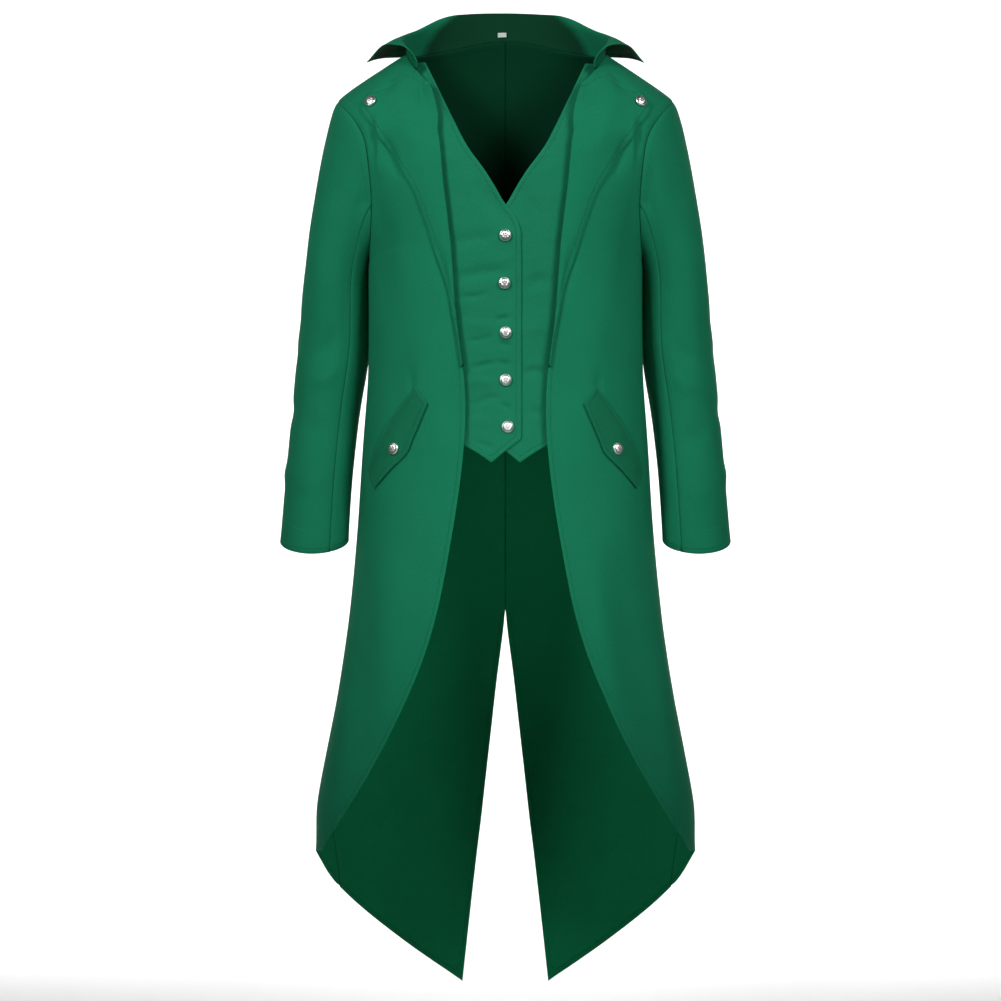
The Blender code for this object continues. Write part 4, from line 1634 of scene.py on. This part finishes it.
WAISTCOAT_CREASES = {
    "left": (
        (((-45, -414), (-29, -408), (-15, -406)), 3.5, -1.3),
        (((-46, -379), (-31, -375), (-16, -372)), 4, -0.8),
        (((-10, -405), (6, -408)), 3.5, -1.3),
        (((-33, -455), (-20, -450), (-10, -450)), 3.5, -1.1),
        (((-45, -461), (-32, -455)), 3.5, -0.7),
        (((-7, -459), (7, -465)), 3.5, -1.2),
        (((-37, -509), (-25, -512), (-15, -517)), 3.5, -1.1),
        (((-61, -321), (-41, -320), (-23, -316)), 4, -0.9),
        (((-63, -295), (-36, -290), (3, -286)), 9, -1.6),
        (((-31, -180), (-15, -201), (2, -227)), 10, -1.4),
        (((-68, -251), (-42, -245), (-16, -242)), 8, -1.0),
        (((-11, -350), (4, -347)), 4, -1.2),
        (((-7, -380), (6, -384)), 4, -1.2),
        (((-51, -354), (-33, -358), (-18, -356)), 7, 0.8),
        (((-54, -432), (-33, -429), (-15, -433)), 7, 0.9),
        (((-56, -486), (-36, -481), (-18, -483)), 6, 0.8),
    ),
    "right": (
        (((24, -418), (37, -415), (53, -416)), 5, -1.3),
        (((28, -307), (42, -300), (55, -301)), 8, -1.0),
        (((29, -470), (42, -468), (52, -472)), 5, -0.9),
        (((24, -188), (33, -202), (40, -224)), 8, -1.3),
        (((30, -363), (42, -359), (56, -362)), 9, 0.8),
    ),
}
LAPEL_CREASES = {
    "left": (
        (((-139, -56), (-126, -105), (-114, -144)), 13, 1.0),
        (((-105, -36), (-103, -49), (-101, -67)), 3.5, -1.6),
        (((-112, -41), (-110, -56), (-109, -72)), 4, -1.1),
        (((-131, -170), (-116, -215), (-98, -260)), 8, -0.9),
        (((-172, -64), (-157, -72), (-141, -67)), 7, -0.8),
    ),
    "right": (
        (((138, -60), (126, -108), (115, -144)), 13, 1.0),
        (((106, -36), (104, -51), (102, -69)), 3.5, -1.5),
        (((113, -44), (111, -59), (109, -76)), 4, -1.1),
        (((129, -173), (115, -218), (98, -263)), 8, -0.9),
        (((173, -66), (158, -73), (142, -68)), 7, -0.8),
    ),
}
SLEEVE_CREASES = {
    "left": (
        (((-185, -144), (-180, -183), (-185, -254)), 12, -3.0),
        (((-198, -260), (-201, -325), (-205, -389)), 9, -1.8),
        (((-242, -183), (-250, -273), (-257, -363)), 24, 2.0),
        (((-226, -363), (-237, -383), (-250, -392)), 10, -1.5),
        (((-221, -408), (-237, -423), (-255, -428)), 9, 1.3),
        (((-265, -479), (-250, -490), (-232, -487)), 12, -1.2),
        (((-270, -557), (-257, -565), (-239, -562)), 12, 1.0),
        (((-278, -619), (-250, -623), (-214, -620)), 4, -0.4),
    ),
    "right": (
        (((185, -144), (181, -183), (185, -254)), 12, -3.0),
        (((198, -263), (200, -325), (204, -392)), 9, -1.8),
        (((243, -191), (251, -283), (257, -370)), 24, 2.0),
        (((226, -374), (238, -392), (251, -398)), 10, -1.5),
        (((221, -418), (238, -433), (256, -436)), 9, 1.3),
        (((265, -490), (249, -500), (233, -495)), 12, -1.2),
        (((271, -568), (257, -576), (240, -571)), 12, 1.0),
        (((279, -621), (251, -625), (214, -623)), 4, -0.4),
    ),
}
# Those on the sleeves' outer and back sides: depth from front to back and height
SLEEVE_SIDE_CREASES = (
    (((2, -330), (20, -352), (42, -350)), 16, -0.5),
    (((4, -378), (20, -388), (42, -380)), 15, -0.4),
    (((8, -352), (22, -368), (44, -362)), 14, 0.3),
    (((-20, -455), (4, -466), (25, -462)), 13, -1.4),
    (((15, -190), (20, -240), (16, -290)), 15, -1.8),
    (((-35, -540), (-12, -548), (12, -545)), 12, 1.1),
)
BACK_CREASES = {
    "left": (
        (((-170, -150), (-150, -190), (-140, -260)), 18, -2.2),
        (((-60, -330), (-90, -342), (-120, -338)), 14, -2.0),
        (((-20, -375), (-62, -388), (-105, -384)), 13, -1.8),
        (((-30, -352), (-70, -364), (-112, -360)), 12, 1.6),
        (((-90, -520), (-96, -640), (-104, -780)), 26, 3.0),
        (((-150, -600), (-160, -740), (-172, -880)), 22, -2.4),
        (((-50, -820), (-56, -940), (-60, -1060)), 22, 2.2),
    ),
    "right": (
        (((168, -158), (148, -200), (139, -270)), 18, -2.2),
        (((55, -322), (88, -334), (122, -331)), 14, -2.0),
        (((24, -382), (64, -393), (100, -388)), 13, -1.8),
        (((34, -350), (72, -361), (110, -358)), 12, 1.6),
        (((86, -540), (92, -660), (101, -800)), 26, 3.0),
        (((152, -590), (163, -720), (175, -860)), 22, -2.4),
        (((46, -800), (54, -930), (60, -1040)), 22, 2.2),
    ),
}
FLAP_SEAM = ((-116, -435), (-148, -478), (-175, -530), (-179, -550))
BUTTONS = (
    ("button_waistcoat_1", 12.0),
    ("button_waistcoat_2", 40.0),
    ("button_waistcoat_3", -25.0),
    ("button_waistcoat_4", 71.0),
    ("button_waistcoat_5", 5.0),
    ("button_lapel_left", -18.0),
    ("button_lapel_right", 33.0),
    ("button_flap_left", 58.0),
    ("button_flap_right", -40.0),
)


def creases_of(rows: tuple, plane: Plane) -> tuple[Crease, ...]:
    """The creases of one table."""
    return tuple(Crease(plane, line, width, rise * RELIEF) for line, width, rise in rows)


def make_panels() -> dict[str, Panel]:
    """The panels of the coat by name, in the order in which they are made."""
    panels: list[Panel] = []
    sides = (
        ("left", -1, Facing.LEFT, Facing.RIGHT, Plane.OUTER_LEFT),
        ("right", 1, Facing.RIGHT, Facing.LEFT, Plane.OUTER_RIGHT),
    )
    for word, sign, out, inner, outer_plane in sides:
        sleeve_creases = creases_of(SLEEVE_CREASES[word], Plane.FRONT)
        sleeve_creases += creases_of(SLEEVE_SIDE_CREASES, outer_plane)
        forepart = f"forepart_{word}"
        flap_seam = tuple((-sign * across, up) for across, up in FLAP_SEAM)
        panels += [
            Panel(
                forepart, f"front_{word}", Facing.FRONT, CUTS["forepart"],
                rests_on=(f"back_panel_{word}",), creases=creases_of(FOREPART_CREASES[word], Plane.FRONT),
            ),
            Panel(
                f"back_panel_{word}", f"back_{word}", Facing.BACK, CUTS["back_panel"],
                creases=creases_of(BACK_CREASES[word], Plane.BACK),
            ),
            Lapel(
                f"lapel_cloth_{word}", f"lapel_{word}", Facing.FRONT, CUTS["lapel_cloth"],
                rests_on=(forepart,), thickness=0.9, ripples=Ripples(height=0.3),
                creases=creases_of(FOREPART_CREASES[word] + LAPEL_CREASES[word], Plane.FRONT),
            ),
            Flap(
                f"pocket_flap_{word}", f"flap_{word}", Facing.FRONT, CUTS["pocket_flap"], slot="flap_cloth",
                rests_on=(forepart,), ripples=Ripples(height=0.35, size=22.0), sewn_line=flap_seam,
                creases=creases_of(FOREPART_CREASES[word], Plane.FRONT),
            ),
            Waistcoat(
                f"waistcoat_half_{word}", f"waistcoat_{word}", Facing.FRONT, CUTS["waistcoat_half"],
                slot="waistcoat_cloth", rests_on=(forepart,),
                creases=creases_of(WAISTCOAT_CREASES[word], Plane.FRONT),
                ripples=Ripples(height=0.6, size=30.0, stretch=0.6),
            ),
            Panel(
                f"sleeve_top_cloth_{word}", f"sleeve_top_{word}", out, CUTS["sleeve_top_cloth"],
                rests_on=(forepart,), creases=sleeve_creases, ripples=Ripples(height=0.9),
            ),
            Panel(
                f"sleeve_under_cloth_{word}", f"sleeve_under_{word}", inner, CUTS["sleeve_under_cloth"],
                rests_on=(f"sleeve_top_cloth_{word}",), levels=2,
            ),
        ]
    panels.append(
        Collar(
            "collar_cloth", "collar", Facing.UP, CUTS["collar_cloth"],
            rests_on=("back_panel_left",), levels=2,
        )
    )
    return {panel.name: panel for panel in panels}


@dataclass
class Collar(Panel):
    """The rolled collar, with painted shade: a dark inner cloth on the band where it turns in towards the
    neck.
    """

    def shape(self, seed: float) -> None:
        """Shape the collar as any panel, and map how far each place is outside its inner band of painted
        shade.

        Args:
            seed: A number that sets its ripples apart from another panel's.
        """
        super().shape(seed)
        places = vertices_of(self.piece)
        # The band of painted shade is drawn by where each place falls in the front view, from the camera's
        # eye
        nearness = EYE_DISTANCE / (EYE_DISTANCE + places[:, 1])
        heights = EYE_HEIGHT + (places[:, 2] - EYE_HEIGHT) * nearness
        band = np.interp(heights, np.array(PAINTED_SHADE_BAND_HEIGHTS) * MM, np.array(PAINTED_SHADE_BAND_HALF_WIDTHS) * MM)
        reach = np.abs(places[:, 0]) * nearness
        # turned is 0 inside the band, where the dark cloth is painted shade, and 1 outside it
        turned = np.clip(0.5 + (reach - band) / (12 * MM), 0, 1)
        mesh = self.piece.data
        add_map(mesh, "turn", turned, turned)
        mesh.uv_layers.active = mesh.uv_layers["pattern"]


@dataclass
class Coat:
    """The whole coat.

    Attributes:
        panels: Its panels by name.
    """

    panels: dict[str, Panel] = field(default_factory=make_panels)

    def build(self) -> None:
        """Make every piece of the coat."""
        weaves = Weaves()
        # The dark inner cloth is painted shade: it stands in for the shade inside the hollow coat, on inner
        # walls, above the waist and on the collar's inner band
        shade_lining = Cloth("lining_cloth", (0.0012, 0.040, 0.016), sheen=0.01, depth=0.12, gloss=0.05)
        facing = Cloth("tail_reverse", (0.0028, 0.140, 0.053), sheen=0.02, gloss=0.06)
        cloths = {
            "coat_cloth": Cloth("coat_cloth", (0.0048, 0.158, 0.076)),
            "waistcoat_cloth": Cloth("waistcoat_cloth", (0.0062, 0.160, 0.080)),
            # The flap's cloth is the coat's cloth made darker, as painted shade
            "flap_cloth": Cloth("flap_cloth", (0.0040, 0.128, 0.059)),
        }
        painted_shade_reverse = shade_lining.make(weaves)
        tail_reverse = facing.make(weaves, shade_lining, PAINTED_SHADE_DOWN_TO)
        collar_reverse = Cloth("collar_reverse", (0.0026, 0.105, 0.042), sheen=0.02, gloss=0.06).make(weaves)
        faces = {name: cloth.make(weaves) for name, cloth in cloths.items()}
        collar_face_painted_shade = cloths["coat_cloth"].make(weaves, shade_lining)
        for panel in self.panels.values():
            panel.lay_out()
        for panel in self.panels.values():
            panel.find_seams(self.panels)
        for word in ("left", "right"):
            self.panels[f"waistcoat_half_{word}"].tuck_under(self.panels[f"forepart_{word}"])
        self.panels["waistcoat_half_right"].tuck_under(self.panels["waistcoat_half_left"])
        for number, panel in enumerate(self.panels.values()):
            panel.shape(7.3 * number)
            # Inner walls take the dark inner cloth as painted shade, save the tails' inside below the waist
            # and the collar's underside
            if isinstance(panel, Collar):
                sides = (collar_face_painted_shade, collar_reverse)
            else:
                sides = (faces[panel.slot], tail_reverse if panel.kind in TAILED else painted_shade_reverse)
            for material in sides:
                panel.piece.data.materials.append(material)
        self.sew()
        for word in ("left", "right"):
            self.panels[f"lapel_cloth_{word}"].roll_under()
        for panel in self.panels.values():
            panel.thicken()
            panel.hand_over()
        Label().build(weaves, Thread("pale_thread", (0.42, 0.48, 0.44)).make())
        metal = Metal().make()
        for node, turn in BUTTONS:
            Button(node, turn).build(metal)

    def sew(self) -> None:
        """Make the topstitches beside the free edges and the hems of the sleeves."""
        thread = Thread("green_thread", (0.016, 0.20, 0.105)).make()
        for panel in self.panels.values():
            inset = HEM_HEIGHT if panel.kind.startswith("sleeve") else STITCH_INSET
            lines = panel.inset_line(inset)
            if lines:
                Stitching("topstitch_" + panel.name, lines, panel.piece).build(thread)


@dataclass
class Studio:
    """A pale seamless backdrop, soft lights and the camera.

    Attributes:
        floor_height: The floor's height, in metres.
        depth: How far behind the coat the paper stands.
        half_width: Half the paper's width.
        length: How long the paper lies on the floor.
        wall_height: How high it rises.
        sweep: The radius of its curve.
        paper: Its colour.
    """

    floor_height: float = -1.42
    depth: float = 3.0
    half_width: float = 8.0
    length: float = 10.0
    wall_height: float = 7.0
    sweep: float = 1.4
    paper: tuple[float, float, float] = (0.86, 0.86, 0.86)

    def build(self) -> None:
        """Make the backdrop, the lights, the world and the camera."""
        self.make_backdrop()
        self.make_light("key", (-1.0, -1.35, 0.47), 0.45, 4.4, (0.0, -0.1, -0.31), 80.0)
        self.make_light("fill", (0.95, -1.4, 0.37), 0.6, 4.0, (0.0, -0.1, -0.33), 80.0)
        self.make_light("bounce", (0.0, -1.3, -1.2), 0.25, 0.17, (0.0, 0.1, -0.60), 28.0)
        self.make_light("rear", (0.6, 2.0, 0.6), 1.2, 6.0, (0.0, 0.0, -0.5))
        self.make_light("paper_left", (-2.3, 1.5, 0.3), 1.6, 60.0, (-0.4, self.depth, -0.3), 130.0)
        self.make_light("paper_right", (2.3, 1.5, 0.3), 1.6, 60.0, (0.4, self.depth, -0.3), 130.0)
        self.make_world()
        self.make_camera()
        bpy.context.scene.view_settings.view_transform = "Standard"

    def make_backdrop(self) -> None:
        """A sheet of paper that curves up from the floor behind the coat."""
        bpy.ops.object.select_all(action="DESELECT")
        bpy.ops.mesh.primitive_plane_add(size=1.0, location=(0, 0, self.floor_height))
        paper = bpy.context.active_object
        paper.name = "backdrop"
        paper.scale = (2 * self.half_width, self.length, 1.0)
        paper.location.y = self.depth - 0.5 * self.length
        bpy.ops.object.transform_apply(location=True, rotation=True, scale=True)
        open_mesh(paper, "EDGE")
        close_mesh()
        for edge in paper.data.edges:
            ends = [paper.data.vertices[v].co.y for v in edge.vertices]
            edge.select = min(ends) > self.depth - 0.01
        bpy.ops.object.mode_set(mode="EDIT")
        bpy.ops.mesh.extrude_edges_move(TRANSFORM_OT_translate={"value": (0, 0, self.wall_height)})
        bpy.ops.mesh.select_all(action="DESELECT")
        close_mesh()
        curve = paper.modifiers.new("sweep", "BEVEL")
        curve.width = self.sweep
        curve.segments = 24
        curve.limit_method = "ANGLE"
        apply_modifier(paper, curve)
        look_at_only(paper)
        bpy.ops.object.shade_smooth()
        material, _, shader = start_material("paper")
        shader.inputs["Base Color"].default_value = (*self.paper, 1.0)
        shader.inputs["Roughness"].default_value = 0.95
        shader.inputs["Specular IOR Level"].default_value = 0.1
        paper.data.materials.append(material)

    def make_light(
        self,
        name: str,
        place: tuple[float, float, float],
        size: float,
        power: float,
        aim: tuple[float, float, float],
        spread: float = 180.0,
    ) -> None:
        """One square soft light.

        Args:
            name: Its name.
            place: Where it stands.
            size: The length of its side, in metres.
            power: Its power, in watts.
            aim: What it is turned to.
            spread: The angle of its beam, in degrees.
        """
        bpy.ops.object.select_all(action="DESELECT")
        bpy.ops.object.light_add(type="AREA", location=place)
        lamp = bpy.context.active_object
        lamp.name = name
        lamp.data.size = size
        lamp.data.energy = power
        lamp.data.spread = math.radians(spread)
        lamp.visible_camera = False
        way = Vector(aim) - Vector(place)
        lamp.rotation_euler = way.to_track_quat("-Z", "Y").to_euler()

    def make_world(self) -> None:
        """Even white light from all round."""
        world = bpy.data.worlds.new("studio")
        world.use_nodes = True
        world.node_tree.nodes["Background"].inputs["Color"].default_value = (1.0, 1.0, 1.0, 1.0)
        world.node_tree.nodes["Background"].inputs["Strength"].default_value = 0.09
        bpy.context.scene.world = world

    def make_camera(self) -> None:
        """The level camera."""
        bpy.ops.object.select_all(action="DESELECT")
        place = (EYE_ACROSS, -EYE_DISTANCE, EYE_HEIGHT)
        bpy.ops.object.camera_add(location=place, rotation=(math.pi / 2, 0, 0))
        camera = bpy.context.active_object
        camera.data.sensor_width = SENSOR
        camera.data.lens = SENSOR * EYE_DISTANCE / VIEW_WIDTH
        camera.data.clip_end = 60.0
        bpy.context.scene.camera = camera


def main() -> None:
    """Build the coat's looks round its frame."""
    logging.basicConfig(level=logging.INFO, format="%(name)s %(message)s")
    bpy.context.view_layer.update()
    Coat().build()
    Studio().build()


if __name__ == "__main__":
    main()
